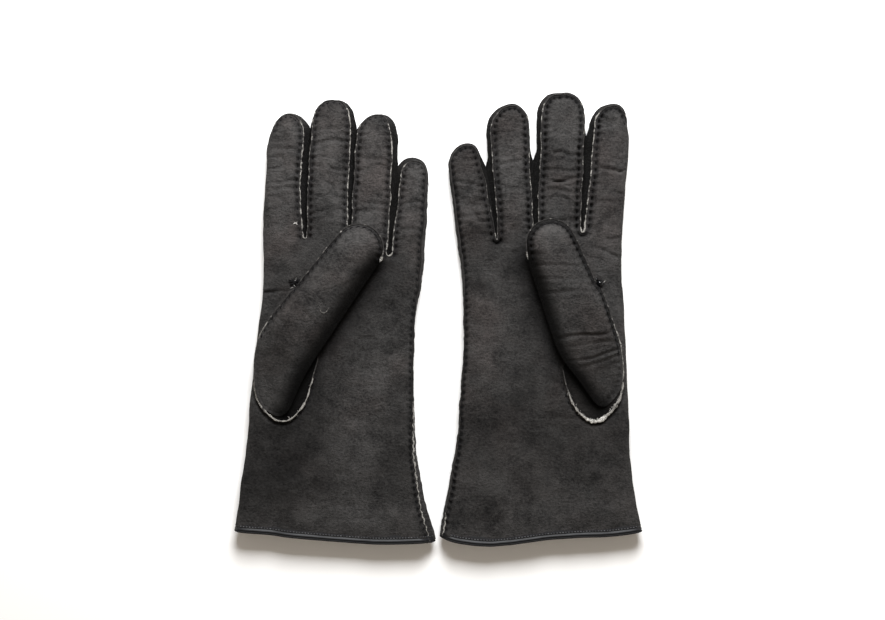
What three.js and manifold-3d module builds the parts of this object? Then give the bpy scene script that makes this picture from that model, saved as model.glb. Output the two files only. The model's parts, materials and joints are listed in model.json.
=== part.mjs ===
// A pair of hand-sewn shearling gloves lying palm up, side by side, with their thumbs folded over the palms.
// Millimetres, +Z up, fingers along +Y, the table at z = 0, the origin below the middle of the pair.
// Each glove is cut and sewn: a palm, a back and the fold that joins them on the index side, forked
// fourchettes between the fingers, a thumb let into a hole in the palm, and a leather binding at the cuff.
import * as THREE from "three";
import { mergeVertices } from "three/addons/utils/BufferGeometryUtils.js";
import Module from "manifold-3d";

const wasm = await Module();
wasm.setup();

// ---- driving dimensions -----------------------------------------------------------------------
const GAP = 0.3; // left between pieces that touch on the real glove
const SHEARLING = 4; // hide and trimmed wool together
const WALL = 3; // fourchettes and side walls, a thinner skin
const HOLLOW = 9; // room for the hand between palm and back
const HAND_THICK = 2 * SHEARLING + HOLLOW;
const FRONT_Z = SHEARLING + HOLLOW; // underside of the palm, and the height of the finger hinges
const FINGER_SLANT = 1; // run over rise of the faces above a finger's hinge
const THUMB_Z = HAND_THICK + 1.3; // underside of the folded thumb
const THUMB_TOP = THUMB_Z + 2 * WALL + HOLLOW;
const THUMB_HINGE_Z = THUMB_Z + 10;
const THUMB_SLANT = 1.25; // the same at the thumb, which opens further
const THUMB_FOOT = 12; // how far the thumb's outline runs back past the fork before it is cut there
const BINDING = 2; // width of the rolled leather edge round the cuff
const WELT = 2; // height and width of the raw sewn edges
const SIDE_WELT_HALF = 1.2; // half the thickness of the side seam's raw edge
const GLOVE_SPACING = 62; // from the middle of the pair to the middle of each glove
const ROOT_OVERLAP = 22; // how far a finger's outline runs down inside the palm
const FORK_DEPTH = 5; // how far a fourchette's fork reaches below its crotch
const FORK_HALF = 3.4; // half the width of the web that joins a fork's two arms
const RAMP = { start: -60, end: -24, lowest: HAND_THICK + 4 }; // the climb of the gusset's top along y
const TIP_STEPS = 12; // facets round a fingertip
const FAR = 400; // longer than the pair, for cutting tools

// Both gloves use one local plan frame: u runs from the index side to the little-finger side, y along
// the fingers. The right glove's u runs along -X. Edges are [u, y] points from the cuff to the knuckles.
// A finger is { root: [u, y], tip: [u, y], widths: [at the root, at the tip], hinge: y of its bend }.
// A thumb is the fork line it folds on, the centre and radius of its tip, and its half width at the fork.
const GLOVES = {
  left: {
    mirror: 1,
    cuff: [[-61, -127.5], [-22, -131.5], [22, -134.5], [60, -134]],
    indexEdge: [[-61, -127.5], [-55, -84], [-50.5, -27], [-44, 22], [-43, 48]],
    littleEdge: [[60, -134], [52, -105], [47, -70], [46.5, -15], [50.5, 22], [53, 38]],
    crotches: [[-18.5, 47.5], [8, 49], [31, 37.5]],
    thumb: { fork: [[-25, 18], [-10, -20]], tip: [14.5, 42], tipRadius: 14.7, forkRadius: 18 },
    fingers: {
      index: { root: [-30.8, 47], tip: [-28, 124.6], widths: [23.6, 22.6], hinge: 58 },
      middle: { root: [-5, 48], tip: [-1.6, 133.4], widths: [25.4, 25.6], hinge: 62 },
      ring: { root: [19.8, 42], tip: [25, 124], widths: [22.6, 24.4], hinge: 62 },
      little: { root: [42.4, 38], tip: [46.6, 98.5], widths: [21, 18.4], hinge: 47.5 },
    },
  },
  right: {
    mirror: -1,
    cuff: [[-61, -127.5], [-22, -131], [30, -136.4], [61, -131]],
    indexEdge: [[-61, -127.5], [-54.5, -90], [-52, -27], [-48.5, 22], [-48, 50]],
    littleEdge: [[61, -131], [56, -105], [49.5, -65], [46, -5], [48, 30], [50, 46]],
    crotches: [[-25, 51.5], [4, 51], [26, 46]],
    thumb: { fork: [[-35, 21], [-13, -27]], tip: [-4.9, 45], tipRadius: 14.7, forkRadius: 18.5 },
    fingers: {
      index: { root: [-36.6, 52], tip: [-41.4, 130], widths: [22.4, 22], hinge: 62 },
      middle: { root: [-10.4, 52], tip: [-12.2, 136.4], widths: [27, 27.4], hinge: 65.5 },
      ring: { root: [15, 48], tip: [20.4, 129.6], widths: [20.8, 24.6], hinge: 65.5 },
      little: { root: [38.4, 46], tip: [46.4, 106.6], widths: [23.6, 19], hinge: 56 },
    },
  },
};
const FINGER_ORDER = ["index", "middle", "ring", "little"];
// The thumb hole from the fork down the index side, round the heel of the thumb and up to the fork again.
const THUMB_LOBE = [[-40, -1], [-47, -14], [-49, -34], [-46, -50], [-33, -62], [-20, -53], [-13.5, -34]];
const LOBE_MIDDLE = [-31, -30];

// ---- materials --------------------------------------------------------------------------------
const suede = new THREE.MeshStandardMaterial({ color: 0x3c3939, roughness: 0.95, metalness: 0 });
const fourchetteSuede = new THREE.MeshStandardMaterial({ color: 0x302d2d, roughness: 0.95, metalness: 0 });
const rawEdge = new THREE.MeshStandardMaterial({ color: 0xcdc4b4, roughness: 0.9, metalness: 0 });
const smoothLeather = new THREE.MeshStandardMaterial({ color: 0x1d1d22, roughness: 0.45, metalness: 0 });

// ---- solids -----------------------------------------------------------------------------------
// A closed three.js geometry as a solid that can be cut and joined.
function solidOf(geometry) {
  const bare = geometry.index ? geometry.toNonIndexed() : geometry.clone();
  bare.deleteAttribute("normal");
  bare.deleteAttribute("uv");
  const merged = mergeVertices(bare, 1e-4);
  const mesh = new wasm.Mesh({
    numProp: 3,
    vertProperties: merged.attributes.position.array,
    triVerts: new Uint32Array(merged.index.array),
  });
  return new wasm.Manifold(mesh);
}

// A solid as a three.js geometry again. Its vertices hold a position and nothing else.
function geometryOf(solid) {
  const { vertProperties, triVerts } = solid.getMesh();
  const geometry = new THREE.BufferGeometry();
  geometry.setAttribute("position", new THREE.BufferAttribute(vertProperties, 3));
  geometry.setIndex(new THREE.BufferAttribute(triVerts, 1));
  geometry.computeVertexNormals();
  return geometry;
}

function joined(solids) {
  return solids.reduce((a, b) => a.add(b));
}

// A flat plate with a plan outline, from height z0 to z1.
function plate(shape, z0, z1) {
  const geometry = new THREE.ExtrudeGeometry(shape, { depth: z1 - z0, bevelEnabled: false });
  return solidOf(geometry.translate(0, 0, z0));
}

// A profile drawn as distance along a plan direction and height, swept sideways across the whole pair.
function sweptProfile(profile, origin, along) {
  const block = new THREE.ExtrudeGeometry(profile, { depth: 2 * FAR, bevelEnabled: false });
  const forward = new THREE.Vector3(along.x, along.y, 0).normalize();
  const up = new THREE.Vector3(0, 0, 1);
  const across = new THREE.Vector3().crossVectors(forward, up);
  const turn = new THREE.Matrix4().makeBasis(forward, up, across).setPosition(origin.x, origin.y, 0);
  return solidOf(block.translate(0, 0, -FAR).applyMatrix4(turn));
}

// Everything on one side of a hinge. The cut face stands upright below the hinge and leans back above it,
// so that the two sides of the hinge fold together without meeting.
function besideHinge(point, along, hingeZ, slant) {
  const profile = new THREE.Shape([
    new THREE.Vector2(GAP, -FAR),
    new THREE.Vector2(3 * FAR, -FAR),
    new THREE.Vector2(3 * FAR, hingeZ + FAR / slant),
    new THREE.Vector2(GAP + FAR, hingeZ + FAR / slant),
    new THREE.Vector2(GAP, hingeZ),
  ]);
  return sweptProfile(profile, point, along);
}

// Everything below the climbing top of the thumb gusset, less a depth.
function belowRamp(depth) {
  const profile = new THREE.Shape([
    new THREE.Vector2(-FAR, -FAR),
    new THREE.Vector2(FAR, -FAR),
    new THREE.Vector2(FAR, THUMB_TOP - depth),
    new THREE.Vector2(RAMP.end, THUMB_TOP - depth),
    new THREE.Vector2(RAMP.start, RAMP.lowest - depth),
    new THREE.Vector2(-FAR, RAMP.lowest - depth),
  ]);
  return sweptProfile(profile, new THREE.Vector2(0, 0), new THREE.Vector2(0, 1));
}

// ---- outlines in a glove's local frame --------------------------------------------------------
const shifted = (points, du, dy = 0) => points.map(([u, y]) => [u + du, y + dy]);
const reversed = (points) => [...points].reverse();

function drawing(mirror) {
  const place = ([u, y]) => new THREE.Vector2(mirror * (u - GLOVE_SPACING), y);
  const polygon = (points) => new THREE.Shape(points.map(place));
  // A closed outline made of stretches, each a smooth curve through its own points, that meet end to end.
  const outline = (...stretches) => {
    const points = [];
    for (const stretch of stretches) {
      const ends = stretch.map(place);
      const isCurve = ends.length > 2;
      const run = isCurve ? new THREE.SplineCurve(ends).getPoints(4 * (ends.length - 1)) : ends;
      points.push(...run.filter((_, i) => i > 0 || points.length === 0));
    }
    if (points[0].distanceTo(points.at(-1)) < 0.01) points.pop();
    return new THREE.Shape(points);
  };
  // The strip between a line and the same line moved by du and dy.
  const strip = (line, du, dy = 0) => {
    const moved = shifted(line, du, dy);
    return outline(line, [line.at(-1), moved.at(-1)], reversed(moved), [moved[0], line[0]]);
  };
  const rectangle = (u0, y0, u1, y1) => polygon([[u0, y0], [u1, y0], [u1, y1], [u0, y1]]);
  return { place, polygon, outline, strip, rectangle };
}

// A finger seen from above: straight sides and a rounded tip, all moved inwards by some millimetres.
function fingerShape(polygon, { root, tip, widths }, inset) {
  const tipLength = 0.62 * widths[1];
  const shoulder = tip[1] - tipLength;
  const lean = (tip[0] - root[0]) / (shoulder - root[1]);
  const foot = [root[0] - lean * ROOT_OVERLAP, root[1] - ROOT_OVERLAP];
  const [rootHalf, tipHalf] = widths.map((width) => width / 2 - inset);
  const points = [[foot[0] - rootHalf, foot[1]], [root[0] - rootHalf, root[1]]];
  for (let i = 0; i <= TIP_STEPS; i++) {
    const turn = Math.PI * (1 - i / TIP_STEPS);
    points.push([tip[0] + tipHalf * Math.cos(turn), shoulder + (tipLength - inset) * Math.sin(turn)]);
  }
  points.push([root[0] + rootHalf, root[1]], [foot[0] + rootHalf, foot[1]]);
  return polygon(points);
}

// ---- the fingers: front, back and two walls each, cut where the finger bends ------------------
// The part beyond the hinge is the finger's own body. The stub below it belongs to the hand.
function cutFinger(glove, draw, finger) {
  const dims = glove.fingers[finger];
  const hinge = draw.place([0, dims.hinge]);
  const beyond = besideHinge(hinge, new THREE.Vector2(0, 1), FRONT_Z, FINGER_SLANT);
  const below = besideHinge(hinge, new THREE.Vector2(0, -1), FRONT_Z, FINGER_SLANT);
  const whole = fingerShape(draw.polygon, dims, 0);
  const wall = plate(whole, SHEARLING + GAP, FRONT_Z - GAP)
    .subtract(plate(fingerShape(draw.polygon, dims, WALL), 0, HAND_THICK));
  // The wall is two pieces that meet at the middle of the fingertip.
  const half = (toward) => {
    const lean = (dims.tip[0] - dims.root[0]) / (dims.tip[1] - dims.root[1]);
    const middle = dims.root[0] + (toward * GAP) / 2;
    const low = [middle - lean * FAR, dims.root[1] - FAR];
    const high = [middle + lean * FAR, dims.root[1] + FAR];
    const away = shifted([high, low], toward * FAR);
    return plate(draw.polygon([low, high, ...away]), 0, HAND_THICK);
  };
  const pieces = {
    front: plate(whole, FRONT_Z, HAND_THICK),
    back: plate(whole, 0, SHEARLING),
    indexWall: wall.intersect(half(-1)),
    littleWall: wall.intersect(half(1)),
  };
  const onOneSide = (side) => Object.fromEntries(
    Object.entries(pieces).map(([name, solid]) => [name, solid.intersect(side)]),
  );
  return { finger: onOneSide(beyond), stub: onOneSide(below) };
}

function addFinger(keep, name, { front, back, indexWall, littleWall }) {
  const at = FINGER_ORDER.indexOf(name);
  const isFirst = at === 0;
  const isLast = at === FINGER_ORDER.length - 1;
  keep(`${name}_front`, front, suede);
  keep(`${name}_back`, back, suede);
  const indexName = isFirst ? `${name}_fold` : `${name}_fourchette_${FINGER_ORDER[at - 1]}_side`;
  const littleName = isLast ? `${name}_seam_wall` : `${name}_fourchette_${FINGER_ORDER[at + 1]}_side`;
  keep(indexName, indexWall, isFirst ? suede : fourchetteSuede);
  keep(littleName, littleWall, isLast ? suede : fourchetteSuede);
}

// ---- the hand ---------------------------------------------------------------------------------
function palmShape(glove, draw) {
  const { cuff, indexEdge, littleEdge } = glove;
  const [first, second, third] = glove.crotches;
  return draw.outline(
    cuff,
    littleEdge,
    [littleEdge.at(-1), third],
    [third, second],
    [second, first],
    [first, indexEdge.at(-1)],
    reversed(indexEdge),
  );
}

// Everything above the binding.
function aboveBinding(glove, draw) {
  const line = shifted(glove.cuff, 0, BINDING + GAP);
  const [start, end] = [line[0], line.at(-1)];
  const shape = draw.outline(
    [[-FAR, start[1]], start],
    line,
    [end, [FAR, end[1]]],
    [[FAR, end[1]], [FAR, FAR]],
    [[FAR, FAR], [-FAR, FAR]],
  );
  return plate(shape, -1, FAR);
}

// The side of the hand, with the stub of the outer finger's wall that carries it up to the bend.
function sideWall(draw, edge, inward, stub) {
  const stubAbove = plate(draw.rectangle(-FAR, edge.at(-1)[1] - 1, FAR, FAR), 0, HAND_THICK);
  return plate(draw.strip(edge, inward), SHEARLING + GAP, FRONT_Z - GAP).add(stub.intersect(stubAbove));
}

// A fourchette's fork at a crotch: the two arms that line the facing sides of the fingers, and their web.
function fourchetteFork(draw, crotch, arms) {
  const [u, y] = crotch;
  const low = y - FORK_DEPTH;
  const reach = 2 * FORK_DEPTH;
  const near = plate(draw.rectangle(u - reach, low, u + reach, FAR), 0, HAND_THICK);
  const webShape = draw.rectangle(u - FORK_HALF, low, u + FORK_HALF, y);
  const web = plate(webShape, SHEARLING + GAP, FRONT_Z - GAP);
  return joined([...arms.map((arm) => arm.intersect(near)), web]);
}

// One closed loop of rolled leather round the mouth of the cuff.
function cuffBinding(glove, draw) {
  const { cuff } = glove;
  const mouth = draw.rectangle(cuff[0][0] + WALL, -FAR, cuff.at(-1)[0] - WALL, 0);
  return plate(draw.strip(cuff, 0, BINDING), 0, HAND_THICK).subtract(plate(mouth, SHEARLING, FRONT_Z));
}

// ---- the thumb --------------------------------------------------------------------------------
// A gusset rises from the hole in the palm up to the fork line, and a sleeve folds over the palm from there.
function makeThumb(glove, draw) {
  const { fork, tip, tipRadius, forkRadius } = glove.thumb;
  const [forkTop, forkHeel] = fork.map(draw.place);
  const forkMiddle = forkTop.clone().lerp(forkHeel, 0.5);
  const tipMiddle = draw.place(tip);
  const line = forkHeel.clone().sub(forkTop).normalize();
  const toTip = new THREE.Vector2(-glove.mirror * line.y, glove.mirror * line.x);
  const tipSide = besideHinge(forkMiddle, toTip, THUMB_HINGE_Z, THUMB_SLANT);
  const heelSide = besideHinge(forkMiddle, toTip.clone().negate(), THUMB_HINGE_Z, THUMB_SLANT);

  // The gusset's plan outline, grown by some millimetres. It runs on past the fork line, where it is cut.
  const gussetShape = (grown) => {
    const middle = draw.place(LOBE_MIDDLE);
    const lobe = THUMB_LOBE.map(draw.place).map((point) => {
      const outward = point.clone().sub(middle).normalize();
      return point.addScaledVector(outward, grown);
    });
    const start = forkTop.clone().addScaledVector(line, -grown);
    const end = forkHeel.clone().addScaledVector(line, grown);
    const curve = new THREE.SplineCurve([start, ...lobe, end]).getPoints(32);
    const pastFork = [end, start].map((point) => point.clone().addScaledVector(toTip, THUMB_FOOT));
    return new THREE.Shape([...curve, ...pastFork]);
  };

  const sleeveShape = (inset) => {
    const axis = tipMiddle.clone().sub(forkMiddle).normalize();
    const across = new THREE.Vector2(axis.y, -axis.x);
    const foot = forkMiddle.clone().addScaledVector(axis, -THUMB_FOOT);
    const points = [foot.clone().addScaledVector(across, forkRadius - inset)];
    for (let i = 0; i <= TIP_STEPS; i++) {
      const turn = Math.PI * (i / TIP_STEPS);
      const out = across.clone().multiplyScalar(Math.cos(turn)).addScaledVector(axis, Math.sin(turn));
      points.push(tipMiddle.clone().addScaledVector(out, tipRadius - inset));
    }
    points.push(foot.clone().addScaledVector(across, inset - forkRadius));
    return new THREE.Shape(points);
  };

  const low = HAND_THICK + GAP;
  return {
    hole: plate(gussetShape(-WALL - 1), 0, FAR).intersect(heelSide),
    sleeve: plate(sleeveShape(0), THUMB_Z, THUMB_TOP)
      .subtract(plate(sleeveShape(WALL), THUMB_Z + WALL, THUMB_TOP - WALL))
      .intersect(tipSide),
    gusset: plate(gussetShape(0), low, THUMB_TOP)
      .intersect(belowRamp(0))
      .subtract(plate(gussetShape(-WALL), 0, THUMB_TOP - WALL).intersect(belowRamp(WALL)))
      .intersect(heelSide),
    welt: plate(gussetShape(GAP + WELT), low, low + WELT)
      .subtract(plate(gussetShape(GAP), 0, FAR))
      .intersect(heelSide),
  };
}

// ---- one glove --------------------------------------------------------------------------------
function makeGlove(side) {
  const glove = GLOVES[side];
  const draw = drawing(glove.mirror);
  const meshes = [];
  const keep = (name, solid, material) => {
    const mesh = new THREE.Mesh(geometryOf(solid), material);
    mesh.name = `${side}_${name}`;
    meshes.push(mesh);
  };

  const stubs = {};
  for (const name of FINGER_ORDER) {
    const { finger, stub } = cutFinger(glove, draw, name);
    addFinger(keep, name, finger);
    stubs[name] = stub;
  }

  const thumb = makeThumb(glove, draw);
  const outline = palmShape(glove, draw);
  const clear = aboveBinding(glove, draw);
  const fronts = FINGER_ORDER.map((name) => stubs[name].front);
  const backs = FINGER_ORDER.map((name) => stubs[name].back);
  const palm = joined([plate(outline, FRONT_Z, HAND_THICK), ...fronts]).intersect(clear).subtract(thumb.hole);
  const back = joined([plate(outline, 0, SHEARLING), ...backs]).intersect(clear);
  keep("palm_panel", palm, suede);
  keep("back_panel", back, suede);

  const { indexEdge, littleEdge, crotches } = glove;
  const indexSide = sideWall(draw, indexEdge, WALL, stubs.index.indexWall);
  const littleSide = sideWall(draw, littleEdge, -WALL, stubs.little.littleWall);
  const weltShape = draw.strip(shifted(littleEdge, GAP), WELT);
  const sideWelt = plate(weltShape, HAND_THICK / 2 - SIDE_WELT_HALF, HAND_THICK / 2 + SIDE_WELT_HALF);
  keep("index_side_fold", indexSide.intersect(clear), suede);
  keep("little_side_wall", littleSide.intersect(clear), suede);
  keep("side_seam_welt", sideWelt.intersect(clear), rawEdge);

  crotches.forEach((crotch, i) => {
    const [a, b] = [FINGER_ORDER[i], FINGER_ORDER[i + 1]];
    const arms = [stubs[a].littleWall, stubs[b].indexWall];
    keep(`fourchette_fork_${a}_${b}`, fourchetteFork(draw, crotch, arms), fourchetteSuede);
  });

  keep("cuff_binding", cuffBinding(glove, draw), smoothLeather);
  keep("thumb_gusset", thumb.gusset, suede);
  keep("thumb_hole_welt", thumb.welt, rawEdge);
  keep("thumb_sleeve", thumb.sleeve, suede);
  return meshes;
}

const pair = new THREE.Group();
pair.add(...makeGlove("left"), ...makeGlove("right"));

export default pair;
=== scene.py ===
"""A pair of hand-sewn shearling gloves lying palm up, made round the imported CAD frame.

Each glove is drawn in local millimetres (w, y, z): w runs from the index side to the little-finger side,
so it is +X on the left glove and -X on the right one. Outlines come from the CAD nodes. A glove is a palm
skin and a back skin with raw-edge seams, fourchette walls between the fingers, a thumb set into the palm,
and a bound cuff.
"""

import json
import math

import bpy
import numpy as np
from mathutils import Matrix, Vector
from mathutils.geometry import convex_hull_2d, delaunay_2d_cdt
from mathutils.kdtree import KDTree


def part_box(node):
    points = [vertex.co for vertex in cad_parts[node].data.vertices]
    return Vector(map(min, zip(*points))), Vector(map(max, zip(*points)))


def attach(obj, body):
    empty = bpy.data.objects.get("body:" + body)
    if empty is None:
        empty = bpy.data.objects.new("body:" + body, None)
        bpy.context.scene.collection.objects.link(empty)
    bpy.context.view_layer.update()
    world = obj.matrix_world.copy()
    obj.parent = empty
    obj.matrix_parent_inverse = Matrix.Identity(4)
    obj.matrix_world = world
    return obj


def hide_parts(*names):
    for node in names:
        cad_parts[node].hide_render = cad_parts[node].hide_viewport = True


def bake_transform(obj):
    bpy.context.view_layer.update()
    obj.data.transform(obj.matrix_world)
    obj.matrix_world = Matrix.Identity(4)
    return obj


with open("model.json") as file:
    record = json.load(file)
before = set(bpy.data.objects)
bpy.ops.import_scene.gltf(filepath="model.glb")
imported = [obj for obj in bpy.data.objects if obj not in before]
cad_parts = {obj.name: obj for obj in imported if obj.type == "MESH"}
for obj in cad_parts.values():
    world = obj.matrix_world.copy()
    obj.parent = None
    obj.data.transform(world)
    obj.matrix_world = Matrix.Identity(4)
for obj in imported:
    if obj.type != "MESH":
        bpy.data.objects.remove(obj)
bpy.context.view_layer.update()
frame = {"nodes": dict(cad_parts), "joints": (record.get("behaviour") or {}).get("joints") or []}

MM = 0.001
SIDES = ("left", "right")
FINGERS = ("index", "middle", "ring", "little")
SIGN = {"left": 1, "right": -1}
SEED = {"left": 11, "right": 47}

# ---- driving sizes, in millimetres ----
ON_RIM = 0.03  # a point nearer than this is on an outline
FLOOR_CLEAR = 0.35  # lowest skin above the table
MID_Z = 8.4  # height of the index-side fold
SIDE_TOP_Z = 10.0  # palm skin's edge along the little-finger side
SIDE_LOW_Z = 6.6  # back skin's edge there
SEAM_TOP_Z = 12.6  # palm skin's edge between the fingers
SEAM_LOW_Z = 4.4  # back skin's edge between the fingers
TIP_PINCH = 0.62  # how far the two edges come together round a fingertip
FLANGE = {"left": 1.6, "right": 2.1}  # from a raw edge to its stitches
FLANGE_LIFT = {"left": 0.45, "right": 0.9}  # how far the raw edge stands up
PIT = {"left": (1.6, 1.0, 0.8), "right": (2.3, 1.2, 1.05)}  # depth, half length and half width under a stitch
RING_DARK = {"left": 0.25, "right": 0.85}  # rim round the tips: its dark leather and painted shade
SIDE_DARK = {"left": 0.1, "right": 0.35}  # and along the little-finger side
TICK_DARK = {"left": 0.4, "right": 0.65}  # painted shade in a stitch's hole
SIDE_FLANGE = {"left": 0.95, "right": 0.6}  # share of the flange along the little-finger side
GROOVE = {"left": 0.2, "right": 0.7}  # how deep the line of stitches pulls the leather down
THUMB_FLANGE = {"left": 1.6, "right": 2.5}
STITCH_PITCH = 4.3
STITCH_LENGTH = 2.3
STITCH_RADIUS = 0.40
THUMB_STITCH_RADIUS = 0.42
PALM_Z = 15.6  # crown of the palm
CUFF_Z = 14.2  # height of the palm at the cuff
FINGER_Z = 16.4  # crown of the fingers
PUFF = 5.0  # how quickly a skin rounds up from its edge
THUMB_PUFF = 9.5
FORK_DEPTH = 5  # from the lowest point of a fourchette's fork to its crotch
BLEND_HALF = 8  # half the stretch round a finger's hinge; the hand's part ends below it
TOP_SPACING = 1.15
BACK_SPACING = 2.0
BOUNDARY_SPACING = 0.8
GUSSET_Z = 16.6  # flat part of the thumb gusset
THUMB_EDGE_Z = 23.5  # seam and fold of the thumb's sleeve
THUMB_CROWN_Z = 32.6
THUMB_UNDER_Z = 18.2
HEEL_CROWN_Z = 17.4
THUMB_BLEND = 9

# How far the palm-side seam stands inside a finger's silhouette: (crotch, middle, tip) on its index side and
# on its little side. Below zero the puffed palm skin hangs over the gap.
INSETS = {
    "left": {
        "index": ((0.0, 0.3, 0.6), (2.2, 4.7, 2.7)),
        "middle": ((0.3, -1.3, -0.8), (2.0, 2.6, 2.4)),
        "ring": ((0.5, -0.6, -0.2), (0.9, 2.0, 3.9)),
        "little": ((1.9, 2.3, 2.8), (1.0, 1.0, 0.9)),
    },
    "right": {
        "index": ((0.0, 0.3, 0.6), (0.9, 2.3, 1.9)),
        "middle": ((0.8, 0.5, 0.1), (1.4, 1.7, 2.1)),
        "ring": ((0.2, -0.4, -0.5), (0.9, 1.5, 2.3)),
        "little": ((0.0, -0.3, 0.8), (1.0, 1.0, 0.9)),
    },
}
INSET_HEIGHTS = (0.1, 0.5, 0.88)  # share of a finger's length
# How blunt a fingertip's two shoulders are, and how far it is stuffed out all round.
SQUARE_TIP = {
    "left": {
        "index": (0.3, 0.3, 0), "middle": (1.2, 0.7, -0.5), "ring": (0.4, 0.9, 0), "little": (0.3, -0.1, 0),
    },
    "right": {
        "index": (2.0, -0.4, 0), "middle": (2.0, 1.0, 0.8), "ring": (2.2, -0.4, 0), "little": (1.2, -0.6, 0),
    },
}
EDGE_SWELL = {  # where the hand's index side is stuffed out or drawn in: height, half length, amount
    "left": ((-104, 30, 1.1), (12, 20, -0.6)),
    "right": ((10, 17, 1.4), (-100, 36, 0.6)),
}
INDEX_SWELL = {"left": 2.6, "right": 2.0}  # how far the stuffed index side bulges past its cut line
CUFF_INSET = {"left": 3.6, "right": 1.6}  # how far the palm's seam stands inside the silhouette at the cuff
GAP_CLOSES = {"left": (116, 114, 92), "right": (111, 97, 93)}  # the height where neighbouring fingers meet
TIP_RING = {"left": 0.0, "right": 0.7}  # added round the fingertips
HEM_WAVES = {  # where the soft hem dips or lifts: share of its width from the index side, half width, height
    "left": ((0.75, 0.22, -0.5), (0.16, 0.09, 0.5)),
    "right": ((0.14, 0.13, -1.3), (0.52, 0.16, 0.9), (0.93, 0.08, -0.7)),
}
CUFF_FOLDS = {  # soft folds: w, height above the hem, half width, half height, size
    "left": ((-100, 10, 3.0, 13, -1.3), (-88, 9, 8, 12, 0.7), (-60, 9, 20, 5, 0.9), (-52, 20, 26, 4, -0.7),
             (-26, 16, 10, 6, 0.6)),
    "right": ((-104, 14, 2.2, 12, -0.8), (-97, 18, 3, 9, 0.6), (-60, 10, 26, 5, 0.6), (-30, 12, 14, 6, -0.5),
              (-75, 22, 22, 5, -0.4)),
}

# How pale the raw edge is along each side of each finger.
PALE = {
    "left": {
        "index_fall": 0.72, "middle_rise": 0.42, "middle_fall": 0.70, "ring_rise": 0.40, "ring_fall": 0.72,
        "little_rise": 0.62,
    },
    "right": {
        "index_fall": 0.72, "middle_rise": 0.42, "middle_fall": 0.46, "ring_rise": 0.46, "ring_fall": 0.40,
        "little_rise": 0.20,
    },
}

# Creases across the fingers: finger, height from hinge to tip, slope, depth.
CREASES = {
    "left": (
        ("index", 0.66, 0.10, 0.5), ("index", 0.30, -0.15, 0.35), ("middle", 0.62, 0.05, 0.55),
        ("middle", 0.72, -0.1, 0.3), ("middle", 0.05, 0.12, 0.5), ("ring", 0.55, 0.1, 0.4),
        ("ring", 0.12, -0.1, 0.4), ("little", 0.45, 0.15, 0.4), ("little", 0.12, 0.0, 0.3),
    ),
    "right": (
        ("middle", 0.17, 0.08, 0.5), ("middle", 0.26, -0.05, 0.55), ("middle", 0.35, 0.1, 0.5),
        ("middle", 0.48, -0.08, 0.55), ("index", 0.44, 0.2, 0.7), ("index", 0.12, -0.1, 0.4),
        ("ring", 0.45, -0.12, 0.4), ("ring", 0.2, 0.1, 0.4), ("little", 0.5, 0.1, 0.4),
        ("little", 0.1, -0.1, 0.4),
    ),
}


# ---- noise ----
def lattice(ix, iy, seed):
    """A repeatable number in -1..1 for each lattice point."""
    h = (ix.astype(np.int64) * 374761393 + iy.astype(np.int64) * 668265263 + seed * 1442695041) & 0xFFFFFFFF
    h = ((h ^ (h >> 13)) * 1274126177) & 0xFFFFFFFF
    h = (h ^ (h >> 16)) & 0xFFFFFFFF
    return h / 0x7FFFFFFF - 1.0


def noise(a, b, size, seed):
    """Smooth noise in -1..1 with features of about size millimetres."""
    a, b = np.broadcast_arrays(np.asarray(a, float) / size, np.asarray(b, float) / size)
    ia, ib = np.floor(a), np.floor(b)
    fa, fb = a - ia, b - ib
    ua, ub = fa**3 * (fa * (fa * 6 - 15) + 10), fb**3 * (fb * (fb * 6 - 15) + 10)
    low = lattice(ia, ib, seed) * (1 - ua) + lattice(ia + 1, ib, seed) * ua
    high = lattice(ia, ib + 1, seed) * (1 - ua) + lattice(ia + 1, ib + 1, seed) * ua
    return low * (1 - ub) + high * ub


def step(x, a, b):
    """Smooth 0 to 1 as x goes from a to b."""
    t = np.clip((np.asarray(x, float) - a) / (b - a), 0, 1)
    return t * t * (3 - 2 * t)


def bump(x, width):
    return np.exp(-((x / width) ** 2))


# ---- plan geometry ----
def arc_length(points):
    return np.concatenate([[0], np.cumsum(np.linalg.norm(np.diff(points, axis=0), axis=1))])


def resample(points, spacing):
    """The polyline at evenly spaced arc lengths."""
    lengths = arc_length(points)
    at = np.linspace(0, lengths[-1], max(3, int(round(lengths[-1] / spacing)) + 1))
    return np.stack([np.interp(at, lengths, points[:, k]) for k in range(points.shape[1])], axis=1)


def smoothed(points, rounds, closed=False):
    """The polyline with its corners relaxed, its ends kept."""
    points = points.copy()
    for _ in range(rounds):
        if closed:
            points = 0.5 * points + 0.25 * (np.roll(points, 1, axis=0) + np.roll(points, -1, axis=0))
        else:
            points[1:-1] = 0.5 * points[1:-1] + 0.25 * (points[:-2] + points[2:])
    return points


def unit(vectors):
    return vectors / (np.linalg.norm(vectors, axis=1)[:, None] + 1e-9)


def looped(points):
    return np.concatenate([points, points[:1]])


def tangents(points, closed=False):
    """Unit directions of travel."""
    if closed:
        return unit(np.roll(points, -1, axis=0) - np.roll(points, 1, axis=0))
    return unit(np.gradient(points, axis=0))


def plan_normals(points, closed=False):
    """Unit plan normals on the right-hand side of the direction of travel."""
    ahead = tangents(points[:, :2], closed)
    return np.stack([ahead[:, 1], -ahead[:, 0]], axis=1)


def flat(plan):
    """Plan vectors as level 3-D vectors."""
    return np.column_stack([plan, np.zeros(len(plan))])


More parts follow.
